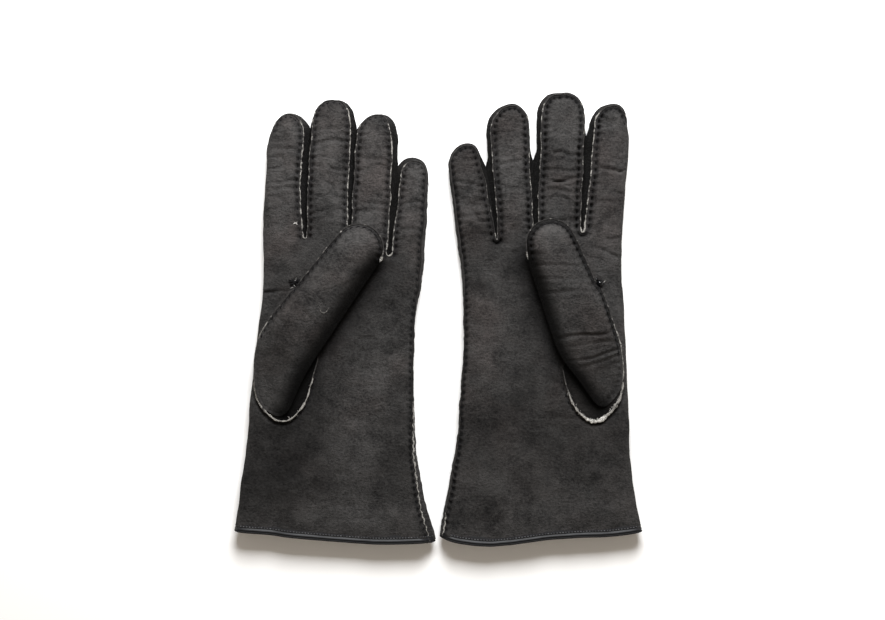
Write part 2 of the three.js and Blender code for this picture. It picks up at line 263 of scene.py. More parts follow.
def joined(pieces, closed=False):
    """The pieces as one even line, and which piece each of its points comes from."""
    labels = np.concatenate([[i] * len(piece) for i, piece in enumerate(pieces)])
    raw = np.vstack(pieces)
    if closed:
        raw = looped(raw)
    lengths = arc_length(raw)
    line = resample(raw, BOUNDARY_SPACING)
    at = np.linspace(0, lengths[-1], len(line))
    label = labels[np.clip(np.searchsorted(lengths, at), 0, len(labels) - 1)]
    return (line[:-1], label[:-1]) if closed else (line, label)


def inside(points, polygon):
    """Even-odd test of many points against one polygon."""
    result = np.zeros(len(points), bool)
    a, b = polygon, np.roll(polygon, -1, axis=0)
    for start in range(0, len(points), 4000):
        p = points[start : start + 4000]
        above = (a[None, :, 1] > p[:, None, 1]) != (b[None, :, 1] > p[:, None, 1])
        slope = (b[:, 0] - a[:, 0]) / np.where(np.abs(b[:, 1] - a[:, 1]) < 1e-12, 1e-12, b[:, 1] - a[:, 1])
        at = a[None, :, 0] + slope[None] * (p[:, None, 1] - a[None, :, 1])
        result[start : start + 4000] = (above & (p[:, None, 0] < at)).sum(axis=1) % 2 == 1
    return result


def plan_tree(points):
    tree = KDTree(len(points))
    for i, point in enumerate(points):
        tree.insert((point[0], point[1], 0), i)
    tree.balance()
    return tree


class Edge:
    """A plan polyline that answers distances: how far a point is, and where along the line it is nearest."""

    def __init__(self, points, closed=False):
        self.points = looped(points) if closed else points
        self.lengths = arc_length(self.points[:, :2])
        self.tree = plan_tree(points)
        self.closed = closed
        self.count = len(points)

    def nearest(self, queries):
        index = np.array([self.tree.find((q[0], q[1], 0))[1] for q in queries], int)
        best = np.full(len(queries), 1e9)
        where = np.zeros(len(queries))
        for first in (index - 1, index):
            first = first % self.count if self.closed else np.clip(first, 0, self.count - 2)
            a, b = self.points[first, :2], self.points[first + 1, :2]
            along = b - a
            t = ((queries[:, :2] - a) * along).sum(1) / ((along**2).sum(1) + 1e-12)
            t = np.clip(t, 0, 1)
            distance = np.linalg.norm(queries[:, :2] - a - along * t[:, None], axis=1)
            closer = distance < best
            best[closer] = distance[closer]
            at = self.lengths[first] + t * (self.lengths[first + 1] - self.lengths[first])
            where[closer] = at[closer]
        return best, where

    def read(self, values, s):
        """Values given at the line's own points, read at arc lengths s."""
        return np.interp(s, self.lengths, looped(values) if self.closed else values)


# ---- reading the frame ----
def node_edges(node, sign):
    mesh = frame["nodes"][node].data
    points = np.array([v.co for v in mesh.vertices], float) / MM
    points[:, 0] *= sign
    pairs = np.array([e.vertices for e in mesh.edges])
    return points[pairs[:, 0]], points[pairs[:, 1]]


def extent(edges, axis, value):
    """Lowest and highest of the other plan coordinate where the node crosses axis = value."""
    a, b = edges
    other = 1 - axis
    cross = ((a[:, axis] - value) * (b[:, axis] - value) <= 0) & (np.abs(a[:, axis] - b[:, axis]) > 1e-6)
    a, b = a[cross], b[cross]
    t = (value - a[:, axis]) / (b[:, axis] - a[:, axis])
    hit = a[:, other] + t * (b[:, other] - a[:, other])
    return hit.min(), hit.max()


def node_hull(node, sign):
    """The node's plan outline, counterclockwise, for a node whose outline has no hollow."""
    mesh = frame["nodes"][node].data
    points = [Vector((v.co.x * sign / MM, v.co.y / MM)) for v in mesh.vertices]
    hull = np.array([points[i] for i in convex_hull_2d(points)], float)
    area = (hull[:, 0] * np.roll(hull[:, 1], -1) - np.roll(hull[:, 0], -1) * hull[:, 1]).sum()
    return hull if area > 0 else hull[::-1]


def joint_of(name):
    return next(j for j in frame["joints"] if j["name"] == name)


class Glove:
    """Outlines of one glove in its local frame, and which finger a point belongs to."""

    def __init__(self, side):
        self.side, self.sign, self.seed = side, SIGN[side], SEED[side]
        self.rows, self.hinge, self.top = {}, {}, {}
        for finger in FINGERS:
            edges = node_edges(f"{side}_{finger}_front", self.sign)
            self.hinge[finger] = joint_of(f"{side}_{finger}_bend")["pos_m"][1] / MM
            low, top = self.hinge[finger] + 5, max(edges[0][:, 1].max(), edges[1][:, 1].max())
            ys = low + (top - low - 0.02) * np.sin(np.linspace(0, math.pi / 2, 80))
            self.rows[finger] = (ys, np.array([extent(edges, 1, y) for y in ys]))
            self.top[finger] = top
        self.crotches = []
        for a, b in zip(FINGERS[:-1], FINGERS[1:]):
            low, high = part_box(f"{side}_fourchette_fork_{a}_{b}")
            self.crotches.append(np.array([(low.x + high.x) / 2 / MM * self.sign, low.y / MM + FORK_DEPTH]))
        self.read_cuff()
        self.draw_path()

    def read_cuff(self):
        """The cuff's edge from the index corner to the little-finger corner."""
        edges = node_edges(f"{self.side}_cuff_binding", self.sign)
        both = np.vstack(edges)
        ws = np.linspace(both[:, 0].min() + 0.05, both[:, 0].max() - 0.05, 60)
        self.cuff = np.array([(w, extent(edges, 0, w)[0]) for w in ws])
        share = np.linspace(0, 1, len(ws))
        for at, width, size in HEM_WAVES[self.side]:
            self.cuff[:, 1] += size * bump(share - at, width)
        palm = node_edges(f"{self.side}_palm_panel", self.sign)
        ys = np.linspace(self.cuff[:, 1].max() + 6, self.hinge["index"] - 14, 90)
        self.index_edge = np.array([(extent(palm, 1, y)[0], y) for y in ys])
        ys = np.linspace(self.cuff[:, 1].max() + 6, self.hinge["little"] - 12, 90)
        self.little_edge = np.array([(extent(palm, 1, y)[1], y) for y in ys])

    def divider(self, k, y):
        """The line midway between finger k and the next, from their crotch up."""
        (ya, sa), (yb, sb) = self.rows[FINGERS[k]], self.rows[FINGERS[k + 1]]
        ys = np.linspace(max(ya[0], yb[0]), min(ya[-1], yb[-1]) - 3, 30)
        between = (np.interp(ys, ya, sa[:, 1]) + np.interp(ys, yb, sb[:, 0])) / 2
        return np.interp(y, np.r_[self.crotches[k][1], ys], np.r_[self.crotches[k][0], between])

    def squared_tips(self, path, label, kinds):
        """Fingertips are blunter than a half circle: their shoulders stand out."""
        normal = plan_normals(path)
        amount = np.zeros(len(path))
        for i, kind in enumerate(kinds):
            if kind.startswith("palm"):
                continue
            finger = kind.split("_")[0]
            here = label == i
            index_side, little_side, all_round = SQUARE_TIP[self.side][finger]
            n = normal[here]
            shoulder = np.abs(n[:, 0] * n[:, 1]) * 2 * np.where(n[:, 0] > 0, index_side, little_side)
            near_top = step(path[here, 1], self.top[finger] - 15, self.top[finger] - 6)
            amount[here] = near_top * (shoulder + all_round)
        fold = np.isin(label, (0, 1))
        top = self.top["index"]
        y = path[:, 1]
        amount += fold * INDEX_SWELL[self.side] * step(y, 8, 62) * step(y, top - 8, top - 24)
        amount += fold * sum(size * bump(y - at, width) for at, width, size in EDGE_SWELL[self.side])
        return smoothed(path - normal * amount[:, None], 3)

    def closed_gaps(self, path, label, kinds):
        """Where two fingers lie close, their fourchettes bulge out until they touch."""
        path = path.copy()
        for i, kind in enumerate(kinds):
            finger, way = kind.split("_")
            k = FINGERS.index(finger) - (way == "rise") if finger in FINGERS else -1
            if not 0 <= k <= 2:
                continue
            here = label == i
            gap = self.divider(k, path[here, 1]) - path[here, 0]
            room = np.abs(gap)
            close = GAP_CLOSES[self.side][k]
            push = np.sign(gap) * np.maximum(room - 0.22, 0) * step(path[here, 1], close + 7, close - 3)
            path[here, 0] += push
        return path

    def draw_path(self):
        """The silhouette from the cuff's index corner over the four fingers to its little-finger corner."""
        pieces, kinds = [np.vstack([self.cuff[:1], self.index_edge])], ["palm_index"]
        for k, finger in enumerate(FINGERS):
            ys, spans = self.rows[finger]
            rise = np.column_stack([spans[:, 0], ys])
            fall = np.column_stack([spans[::-1, 1], ys[::-1]])
            if k:
                rise = np.vstack([self.crotches[k - 1] + (0.5, 0), rise])
            if k < 3:
                fall = np.vstack([fall, self.crotches[k] - (0.5, 0)])
            pieces += [rise, fall]
            kinds += [finger + "_rise", finger + "_fall"]
        pieces.append(np.vstack([self.little_edge[::-1], self.cuff[-1:]]))
        kinds.append("palm_little")
        path, label = joined(pieces)
        path = smoothed(path, 6)
        s = arc_length(path)
        wander = 0.38 * noise(s, 0, 13, self.seed + 14) + 0.22 * noise(s, 0, 5, self.seed + 15)
        wander *= step(path[:, 1], self.cuff[:, 1].max() + 2, self.cuff[:, 1].max() + 14)
        path = self.squared_tips(path + plan_normals(path) * wander[:, None], label, kinds)
        self.path = path
        self.length = arc_length(self.path)
        self.describe_path(label, kinds)
        self.path = smoothed(self.closed_gaps(path, label, kinds), 3)

    def describe_path(self, label, kinds):
        """Seam heights, insets and raw-edge tone for each point of the path."""
        count = len(self.path)
        normal = plan_normals(self.path)
        little_side = (1 - normal[:, 0]) / 2  # the path's right-hand normal points inwards
        fold, side_seam = np.zeros(count), np.zeros(count)
        inset, tip = np.zeros(count), np.zeros(count)
        for i, kind in enumerate(kinds):
            here = label == i
            y = self.path[here, 1]
            if kind == "palm_index":
                fold[here] = 1
            elif kind == "palm_little":
                side_seam[here] = 1
                inset[here] = CUFF_INSET[self.side] * step(-y, 42, 135) + 1.3 * step(y, 0, 36)
            else:
                finger, way = kind.split("_")
                base, top = self.hinge[finger] - 12, self.top[finger]
                h = np.clip((y - base) / (top - base), 0, 1)
                rise, fall = INSETS[self.side][finger]
                a, b = np.interp(h, INSET_HEIGHTS, rise), np.interp(h, INSET_HEIGHTS, fall)
                turn = step(little_side[here], 0.5, 0.97)
                least = 0.8 * step(y, top - 9, top - 4)
                inset[here] = np.maximum(a * (1 - turn) + b * turn, least)
                inset[here] += TIP_RING[self.side] * step(y, top - 12, top - 2)
                tip[here] = step(y, top - 13, top - 1)
                fold[here] = (1 - step(y, top - 16, top - 6)) if kind == "index_rise" else 0
                side_seam[here] = (1 - step(y, top - 8, top - 2)) if kind == "little_fall" else 0
        fold, side_seam, inset = (smoothed(values, 12) for values in (fold, side_seam, inset))
        tip = smoothed(tip, 6)
        pinch = tip * TIP_PINCH
        middle = (SEAM_TOP_Z + SEAM_LOW_Z) / 2
        top_z = SEAM_TOP_Z + (middle + 0.7 - SEAM_TOP_Z) * pinch
        low_z = SEAM_LOW_Z + (middle - 0.7 - SEAM_LOW_Z) * pinch
        top_z = top_z * (1 - side_seam) + SIDE_TOP_Z * side_seam
        low_z = low_z * (1 - side_seam) + SIDE_LOW_Z * side_seam
        self.top_z = top_z * (1 - fold) + MID_Z * fold
        self.low_z = low_z * (1 - fold) + MID_Z * fold
        self.fold, self.side_seam, self.tip = fold, side_seam, tip
        self.inset = inset * (1 - fold)
        inner = smoothed(self.path + normal * self.inset[:, None], 4)
        off = (arc_length(inner) / STITCH_PITCH) % 1 * 2 * math.pi
        scallop = 0.09 + 0.06 * noise(self.length, 0, 15, self.seed + 16)
        scallop = scallop * np.cos(off) * (1 - fold)
        scallop += 0.2 * side_seam * np.cos(off) * step(-self.path[:, 1], 30, 70)
        self.inner = inner - plan_normals(inner) * scallop[:, None]
        y = self.path[:, 1]
        cream = np.array([PALE[self.side].get(kinds[i], 0.3) for i in label])
        cream = smoothed(cream, 4) * (1 - 0.8 * step(tip, 0.75, 1.0))
        for crotch in self.crotches:
            cream = np.maximum(cream, 1.25 * bump(np.linalg.norm(self.path - crotch, axis=1), 4.5))
        side_cream = 0.88 * step(-y, 44, 56) if self.side == "left" else step(-y, 116, 122)
        cream = cream * (1 - side_seam) + side_cream * side_seam
        self.cream = smoothed(cream, 5)

    def flange(self, side_seam):
        """From the raw edge to its stitches."""
        return FLANGE[self.side] * (1 + (SIDE_FLANGE[self.side] - 1) * side_seam)

    def region(self, points):
        """0 for the hand and 1 to 4 for the fingers, for plan points."""
        w, y = points[:, 0], points[:, 1]
        owner = np.zeros(len(points), int)
        for k in range(3):
            owner += w > self.divider(k, y)
        cut = np.array([self.hinge[f] - BLEND_HALF - 0.5 for f in FINGERS])[owner]
        return np.where(y > cut, owner + 1, 0)


# ---- surface solving ----
def hex_grid(low, high, spacing):
    rows = np.arange(low[1], high[1], spacing * 0.866)
    columns = np.arange(low[0], high[0], spacing)
    grid = [np.column_stack([columns + (spacing / 2 if i % 2 else 0), np.full(len(columns), y)])
            for i, y in enumerate(rows)]
    return np.vstack(grid)


def triangulated(polygon, spacing, rows, hole=None):
    """Plan triangles inside polygon and outside hole, with rows of points along both edges."""
    rims = [polygon] if hole is None else [polygon, hole]
    edges = [Edge(rim, closed=True) for rim in rims]

    def from_rims(points):
        return np.minimum.reduce([edge.nearest(points)[0] for edge in edges])

    def within(points):
        kept = inside(points, polygon)
        return kept if hole is None else kept & ~inside(points, hole)

    loose = []
    for rim in rims:
        normal = plan_normals(rim, closed=True)
        for sign in (-1, 1):
            for row in rows:
                ring = resample(looped(rim) + sign * row * looped(normal), 0.95)[:-1]
                loose.append(ring[from_rims(ring) > row * 0.93])
    grid = hex_grid(polygon.min(axis=0), polygon.max(axis=0), spacing)
    loose.append(grid[from_rims(grid) > rows[-1] + spacing * 0.55])
    loose = np.vstack(loose)
    cloud = np.vstack(rims + [loose[within(loose)]])
    constraints, start = [], 0
    for rim in rims:
        constraints += [(start + i, start + (i + 1) % len(rim)) for i in range(len(rim))]
        start += len(rim)
    out = delaunay_2d_cdt([Vector(p) for p in cloud], constraints, [], 0, 1e-4, False)
    verts = np.array([v[:] for v in out[0]], float)
    faces = np.array([f for f in out[2] if len(f) == 3], int)
    faces = faces[within(verts[faces].mean(axis=1))]
    a, b, c = (verts[faces[:, k]] for k in range(3))
    area = np.cross(b - a, c - a)
    faces, area = faces[np.abs(area) > 1e-5], area[np.abs(area) > 1e-5]
    faces[area < 0] = faces[area < 0][:, ::-1]
    used, faces = np.unique(faces, return_inverse=True)
    return verts[used], faces.reshape(-1, 3)


MOST_ROUNDS = 500
SMALL_ENERGY = 1e-12


class Field:
    """Solves for smooth fields over plan triangles: held values spread out and fade to a rest value."""

    def __init__(self, verts, faces):
        self.count = len(verts)
        p = verts[faces]
        weights, pairs = [], []
        area = np.abs(np.cross(p[:, 1] - p[:, 0], p[:, 2] - p[:, 0])) / 2
        for k in range(3):
            i, j, o = faces[:, k], faces[:, (k + 1) % 3], faces[:, (k + 2) % 3]
            u, v = verts[i] - verts[o], verts[j] - verts[o]
            weights.append(np.clip((u * v).sum(1) / (np.abs(np.cross(u, v)) + 1e-9) / 2, 0.02, 5))
            pairs.append(np.column_stack([i, j]))
        self.weights, self.pairs = np.concatenate(weights), np.vstack(pairs)
        self.mass = np.bincount(faces.ravel(), np.repeat(area / 3, 3), self.count)

    def laplace(self, x):
        i, j = self.pairs[:, 0], self.pairs[:, 1]
        flow = self.weights * (x[i] - x[j])
        return np.bincount(i, flow, self.count) - np.bincount(j, flow, self.count)

    def solve(self, held, values, reach, rest):
        """x with x = values where held, and the screened equation with that reach elsewhere."""
        free = ~held
        x = np.where(held, values, rest)
        pull = self.mass / reach**2
        def apply(v):
            return self.laplace(v) + pull * v
        target = np.broadcast_to(np.asarray(rest, float), x.shape) * pull
        residual = np.where(free, target - apply(x), 0)
        direction, energy = residual.copy(), (residual**2).sum()
        for _ in range(MOST_ROUNDS):
            if energy < SMALL_ENERGY * len(x):
                break
            image = np.where(free, apply(direction), 0)
            size = energy / (direction @ image)
            x = x + size * direction
            residual = residual - size * image
            new = (residual**2).sum()
            direction, energy = residual + (new / energy) * direction, new
        return x


class Surface:
    """A triangulated height field that can be asked for its height and normal."""

    def __init__(self, plan, faces, z):
        self.verts = np.column_stack([plan, z])
        self.faces = faces
        p = self.verts[faces]
        face_normal = np.cross(p[:, 1] - p[:, 0], p[:, 2] - p[:, 0])
        normal = np.zeros_like(self.verts)
        for k in range(3):
            for c in range(3):
                normal[:, c] += np.bincount(faces[:, k], face_normal[:, c], len(normal))
        self.normals = normal / (np.linalg.norm(normal, axis=1)[:, None] + 1e-12)
        self.tree = plan_tree(plan)

    def at(self, queries):
        """Height and normal at plan points."""
        heights, normals = [], []
        for q in queries:
            found = self.tree.find_n((q[0], q[1], 0), 4)
            weight = np.array([1 / (d + 0.05) ** 2 for _, _, d in found])
            ids = [i for _, i, _ in found]
            weight /= weight.sum()
            heights.append((self.verts[ids, 2] * weight).sum())
            normals.append((self.normals[ids] * weight[:, None]).sum(0))
        normals = np.array(normals)
        return np.array(heights), normals / np.linalg.norm(normals, axis=1)[:, None]


class Skin:
    """A panel's triangles, how far each point is from its seam or fold, and the rise from there."""

    def __init__(self, outline, line, spacing, rows, hole=None, closed=False):
        self.plan, self.faces = triangulated(outline, spacing, rows, hole)
        self.line, self.seam = line, Edge(line, closed)
        self.d, self.s = self.seam.nearest(self.plan)
        self.field = Field(self.plan, self.faces)

    def read(self, values):
        return self.seam.read(values, self.s)

    def rise(self, rim_z, reach, rest, sewn, puff):
        """The height spread in from the rim, and 0 to 1 as the skin rounds up to its crown."""
        base = self.field.solve(self.d < ON_RIM, rim_z, reach, rest)
        phi = self.field.solve(self.d <= 0.7 * sewn + ON_RIM, np.zeros(len(self.plan)), puff, 1)
        return base, rounded(np.clip(phi, 0, 1))

    def turned(self, normals, sewn):
        """The normals, straight outwards where the skin folds over its rim and isn't sewn."""
        outward = plan_normals(self.line, self.seam.closed)
        outward = flat(-np.column_stack([self.read(outward[:, 0]), self.read(outward[:, 1])]))
        return np.where(((self.d < ON_RIM) & (sewn < 0.6))[:, None], outward, normals)


def from_stitch(s):
    """Signed distance along a seam to its nearest stitch."""
    return (s / STITCH_PITCH) % 1 * STITCH_PITCH - STITCH_PITCH / 2


def ticks(d, s, flange):
    """1 at the holes of a hand-sewn seam, where thread and shadow are darkest."""
    return np.minimum(1, 1.6 * bump(from_stitch(s), 1.2) * bump(d - flange, 0.85))


def stitched_edge(d, s, sewn, seed, flange, side):
    """Relief of a sewn edge: a lip that stands up a little, and a dimple under every stitch."""
    off = from_stitch(s)
    lively = 1 + 0.35 * noise(s, 0, 11, seed + 6)
    lip = FLANGE_LIFT[side] * (1 + 0.4 * noise(s, 0, 3.2, seed + 5)) * np.clip(1 - d / flange, 0, 1)
    deep, long, wide = PIT[side]
    dimple = bump(off, long) * bump(d - flange, wide) * deep * lively
    swell = (1 - bump(off, 1.3)) * bump(d - flange - 0.6, 1.5) * 0.5 * lively
    pucker = np.cos(2 * math.pi * off / STITCH_PITCH) * bump(d - flange - 2.2, 1.8) * 0.26 * lively
    groove = GROOVE[side] * bump(d - flange, 0.9)
    return sewn * (lip - dimple + swell - pucker - groove)


def rounded(phi):
    """A quarter-ellipse rise for phi from 0 to 1."""
    return np.sqrt(np.clip(1 - (1 - phi) ** 2, 0, 1))


# ---- mesh making ----
SUEDE, SHADED_FOURCHETTE, RAW = "suede", "fourchette_suede", "raw_edge"
BINDING, THREAD, FLEECE = "binding", "thread", "fleece"
# Painted light: how much paler the fingers are made, for each glove's sign.
PAINTED_LIGHT_FINGERS = {1: 0.29, -1: 0.12}
materials = {}
# Broad patches where the suede is paler or darker: w, y, half sizes, amount.
TONE_PATCHES = {
    1: ((-44, -45, 27, 42, 0.16), (-90, 26, 20, 24, -0.12), (-98, -92, 34, 40, -0.48),
        (-58, -116, 34, 12, 0.12), (-26, -100, 20, 26, -0.12), (-34, 12, 14, 16, -0.10)),
    -1: ((-38, 8, 22, 34, 0.18), (-58, -72, 44, 38, -0.22), (-92, -104, 22, 24, 0.06),
         (-78, 44, 10, 22, -0.10), (-24, -108, 16, 22, 0.05)),
}


def suede_tone_and_painted_light(local, sign):
    """Suede tone: fingers paler as painted light, paler thumb tops, and broad paler and darker patches."""
    w, y, z = local.T
    tone = 0.93 + PAINTED_LIGHT_FINGERS[sign] * step(y, 30, 85) + 0.18 * step(z, 20, 30)
    for at_w, at_y, half_w, half_y, amount in TONE_PATCHES[sign]:
        tone = tone + amount * bump(np.hypot((w - at_w) / half_w, (y - at_y) / half_y), 1)
    tone = tone + 0.13 * noise(w, y, 24, 5 + sign) + 0.08 * noise(w, y, 11, 8 + sign)
    return np.clip(tone, 0.35, 1.6)


def placed(name, data):
    """A new object in the scene."""
    obj = bpy.data.objects.new(name, data)
    bpy.context.scene.collection.objects.link(obj)
    return obj


def add_mesh(glove, label, verts, faces, slot, floats=None, normals=None):
    """A smooth mesh from local millimetres, with its rest position and other values for the materials."""
    name, sign = f"{glove.side}_{label}", glove.sign
    corners = faces.shape[-1]
    used, faces = np.unique(faces, return_inverse=True)
    faces = faces.reshape(-1, corners)
    local = verts[used]
    if sign < 0:
        faces = faces[:, ::-1]
    mesh = bpy.data.meshes.new(name)
    mesh.from_pydata((local * (sign * MM, MM, MM)).tolist(), [], faces.tolist())
    mesh.polygons.foreach_set("use_smooth", np.ones(len(mesh.polygons), bool))
    rest = mesh.attributes.new("rest", "FLOAT_VECTOR", "POINT")
    rest.data.foreach_set("vector", (local / 100 + (3.0 * (sign < 0), 0, 0)).astype(np.float32).ravel())
    floats = {key: values[used] for key, values in (floats or {}).items()}
    if slot == SUEDE:
        # Painted shade: the tone is darkened in the crevice beside the thumb's fold.
        floats["tone"] = suede_tone_and_painted_light(local, sign) * (1 - floats.pop("painted_shade", 0))
    for key, values in floats.items():
        attribute = mesh.attributes.new(key, "FLOAT", "POINT")
        attribute.data.foreach_set("value", values.astype(np.float32))
    if normals is not None:
        mesh.normals_split_custom_set_from_vertices((normals[used] * (sign, 1, 1)).tolist())
    mesh.materials.append(materials[slot])
    obj = placed(name, mesh)
    return obj


def on_hand(glove, label, verts, faces, slot, floats=None, normals=None):
    """A piece that stays with the hand."""
    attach(add_mesh(glove, label, verts, faces, slot, floats, normals), f"{glove.side}_hand")


def emit(glove, label, verts, faces, slot, floats=None, normals=None, owner=None):
    """Splits a mesh between the hand and the fingers, and puts the hand's part on the hand's body."""
    if owner is None:
        owner = glove.region(verts[faces].mean(axis=1)[:, :2])
    for k, part in enumerate(("hand",) + FINGERS):
        chosen = faces[owner == k]
        if not len(chosen):
            continue
        if k == 0:
            on_hand(glove, f"hand_{label}", verts, chosen, slot, floats, normals)
            continue
        obj = add_mesh(glove, f"{part}_{label}", verts, chosen, slot, floats, normals)
        start, end = ((0, (glove.hinge[part] + d) * MM, MID_Z * MM) for d in (-BLEND_HALF, BLEND_HALF))
        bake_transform(obj)
        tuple(start)
        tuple(end)


def emit_thumb(glove, thumb, label, verts, faces, slot, floats=None, normals=None):
    """A piece of the thumb, as its own object."""
    obj = add_mesh(glove, f"thumb_{label}", verts, faces, slot, floats, normals)
    ends = [thumb.pos + thumb.away * d for d in (-THUMB_BLEND, THUMB_BLEND)]
    start, end = ((p[0] * glove.sign * MM, p[1] * MM, thumb.pivot_z) for p in ends)
    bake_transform(obj)
    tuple(start)
    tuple(end)


def grid_faces(rows, columns, ring=False, closed=False):
    """Quads of a grid whose vertex index is column * rows + row; a ring joins its last row to its first."""
    last_c, last_r = columns if closed else columns - 1, rows if ring else rows - 1
    c, r = np.meshgrid(np.arange(last_c), np.arange(last_r), indexing="ij")
    c2, r2 = (c + 1) % columns * rows, (r + 1) % rows
    return np.stack([c * rows + r, c2 + r, c2 + r2, c * rows + r2], axis=-1).reshape(-1, 4)


def tube(points, across, up, half_width, half_height, sides=8, closed=False):
    """A rounded ribbon along points, its section set by two unit directions at each point."""
    angle = np.linspace(0, 2 * math.pi, sides, endpoint=False)[None, :, None]
    ring = points[:, None] + across[:, None] * (np.cos(angle) * half_width[:, None, None])
    ring = ring + up[:, None] * (np.sin(angle) * half_height[:, None, None])
    faces = grid_faces(sides, len(points), ring=True, closed=closed)
    return ring.reshape(-1, 3), faces[:, (0, 3, 2, 1)]


def stitches(points, along, normals, length, radius, sink=0.5):
    """One short length of thread for each point, its ends going down into the leather."""
    at = np.array([-1, -0.86, -0.5, 0, 0.5, 0.86, 1])
    thick = np.array([0.25, 0.72, 0.97, 1, 0.97, 0.72, 0.25])[:, None]
    sides = 6
    angle = np.linspace(0, 2 * math.pi, sides, endpoint=False)
    across = unit(np.cross(normals, along))[:, None, None]
    centre = points[:, None] + along[:, None] * (at * length / 2)[None, :, None]
    centre = centre - normals[:, None] * (sink * at**2)[None, :, None]
    ring = centre[:, :, None] + across * (thick * np.cos(angle) * radius)[None, :, :, None]
    ring = ring + normals[:, None, None] * (thick * np.sin(angle) * radius)[None, :, :, None]
    first = np.arange(len(points))[:, None, None] * len(at) * sides
    return ring.reshape(-1, 3), (grid_faces(sides, len(at), ring=True) + first).reshape(-1, 4)


def together(parts):
    """Several meshes as one list of vertices and faces."""
    verts, faces, start = [], [], 0
    for v, f in parts:
        verts.append(v)
        faces.append(f + start)
        start += len(v)
    return np.vstack(verts), np.vstack(faces)


# ---- palm and back skins ----
ROWS_FINE = (0.15, 0.4, 0.75, 1.15, 1.6, 2.1, 2.6, 3.2, 4.0, 5.0)
ROWS_COARSE = (0.2, 0.6, 1.2, 2.0, 3.0, 4.4)
ROWS_GUSSET = (0.4, 0.9, 1.5, 2.1, 2.8, 3.8)


def closed_outline(glove, path):
    """The path closed along the cuff."""
    low, high = path[0, 0] + 0.5, path[-1, 0] - 0.5
    cuff = resample(glove.cuff[::-1], BOUNDARY_SPACING * 1.5)
    cuff = cuff[(cuff[:, 0] > low) & (cuff[:, 0] < high)]
    return np.vstack([path, cuff])


def crown(glove, plan):
    """Height of the palm skin away from its edges."""
    w, y = plan.T
    seed = glove.seed
    z = PALM_Z + (FINGER_Z - PALM_Z) * step(y, 15, 60) + (CUFF_Z - PALM_Z) * step(-y, 60, 112)
    z -= 0.7 * bump(np.hypot((w - glove.cuff[:, 0].mean() - 12) / 26, (y + 8) / 34), 1.0)
    z += 0.8 * noise(w, y, 36, seed) + 0.75 * noise(w, y * 0.8, 14, seed + 1)
    z += 0.36 * noise(w, y, 6.5, seed + 2) + 0.14 * noise(w, y, 3.4, seed + 4)
    z += crumple(w, y, seed) * (0.7 + 1.9 * step(y, 20, 70))
    z += 0.45 * noise(w * 0.5, y, 9, seed + 3) * step(-y, 88, 104) * (1 - step(-y, 112, 124))
    hem = np.interp(w, glove.cuff[:, 0], glove.cuff[:, 1])
    for at, above, wide, tall, size in CUFF_FOLDS[glove.side]:
        z += size * bump(w - at - 0.15 * (y - hem), wide) * bump(y - hem - above, tall)
    return z


def crumple(w, y, seed):
    """A loose net of shallow wrinkles, stronger in patches, mostly across the fingers."""
    z = 0
    for k, (size, depth) in enumerate(((9, 0.55), (5.5, 0.38))):
        line = noise(w * 0.62, y * 1.15, size, seed + 31 + k)
        patch = step(noise(w, y, size * 2.2, seed + 37 + k), -0.15, 0.5)
        z = z - depth * patch * (bump(line, 0.11) - 0.35 * bump(np.abs(line) - 0.26, 0.12))
    return z


def creases(glove, plan):
    """Wrinkles across the fingers and the top of the palm."""
    w, y = plan.T
    z = np.zeros(len(plan))
    owner = glove.region(plan)
    for i, (finger, height, slope, depth) in enumerate(CREASES[glove.side]):
        ys, spans = glove.rows[finger]
        base, top = glove.hinge[finger], glove.top[finger]
        yc = base + (top - base) * height
        wc = np.interp(yc, ys, spans.mean(axis=1))
        t = y - yc - slope * (w - wc) - 1.6 * noise(w, 0, 9, glove.seed + 20 + i)
        reach = bump(w - wc - 3 * noise(0, i, 1.7, glove.seed), 12)
        mine = (owner == FINGERS.index(finger) + 1) | (owner == 0)
        z += np.where(mine, reach * depth * 2.3 * (-bump(t, 0.95) + 0.45 * bump(np.abs(t) - 2.1, 1.2)), 0)
    return z


HAND_CREASES = {  # short nicks at the hand's index side: w, y, half length, slope, depth
    "left": ((-102, 16, 8, 0.05, 1.9),),
    "right": ((-103, 40, 8, 0.35, 1.4), (-106, 49, 6, -0.2, 1.3), (-96, 36, 6, 0.2, 0.7)),
}


def nicks(glove, plan):
    w, y = plan.T
    z = np.zeros(len(plan))
    for at_w, at_y, half, slope, depth in HAND_CREASES[glove.side]:
        t = y - at_y - slope * (w - at_w) - 0.7 * noise(w, 0, 5, glove.seed + 44)
        z += depth * bump(w - at_w, half) * (-bump(t, 0.8) + 0.4 * bump(t - 1.9, 1.2))
    return z


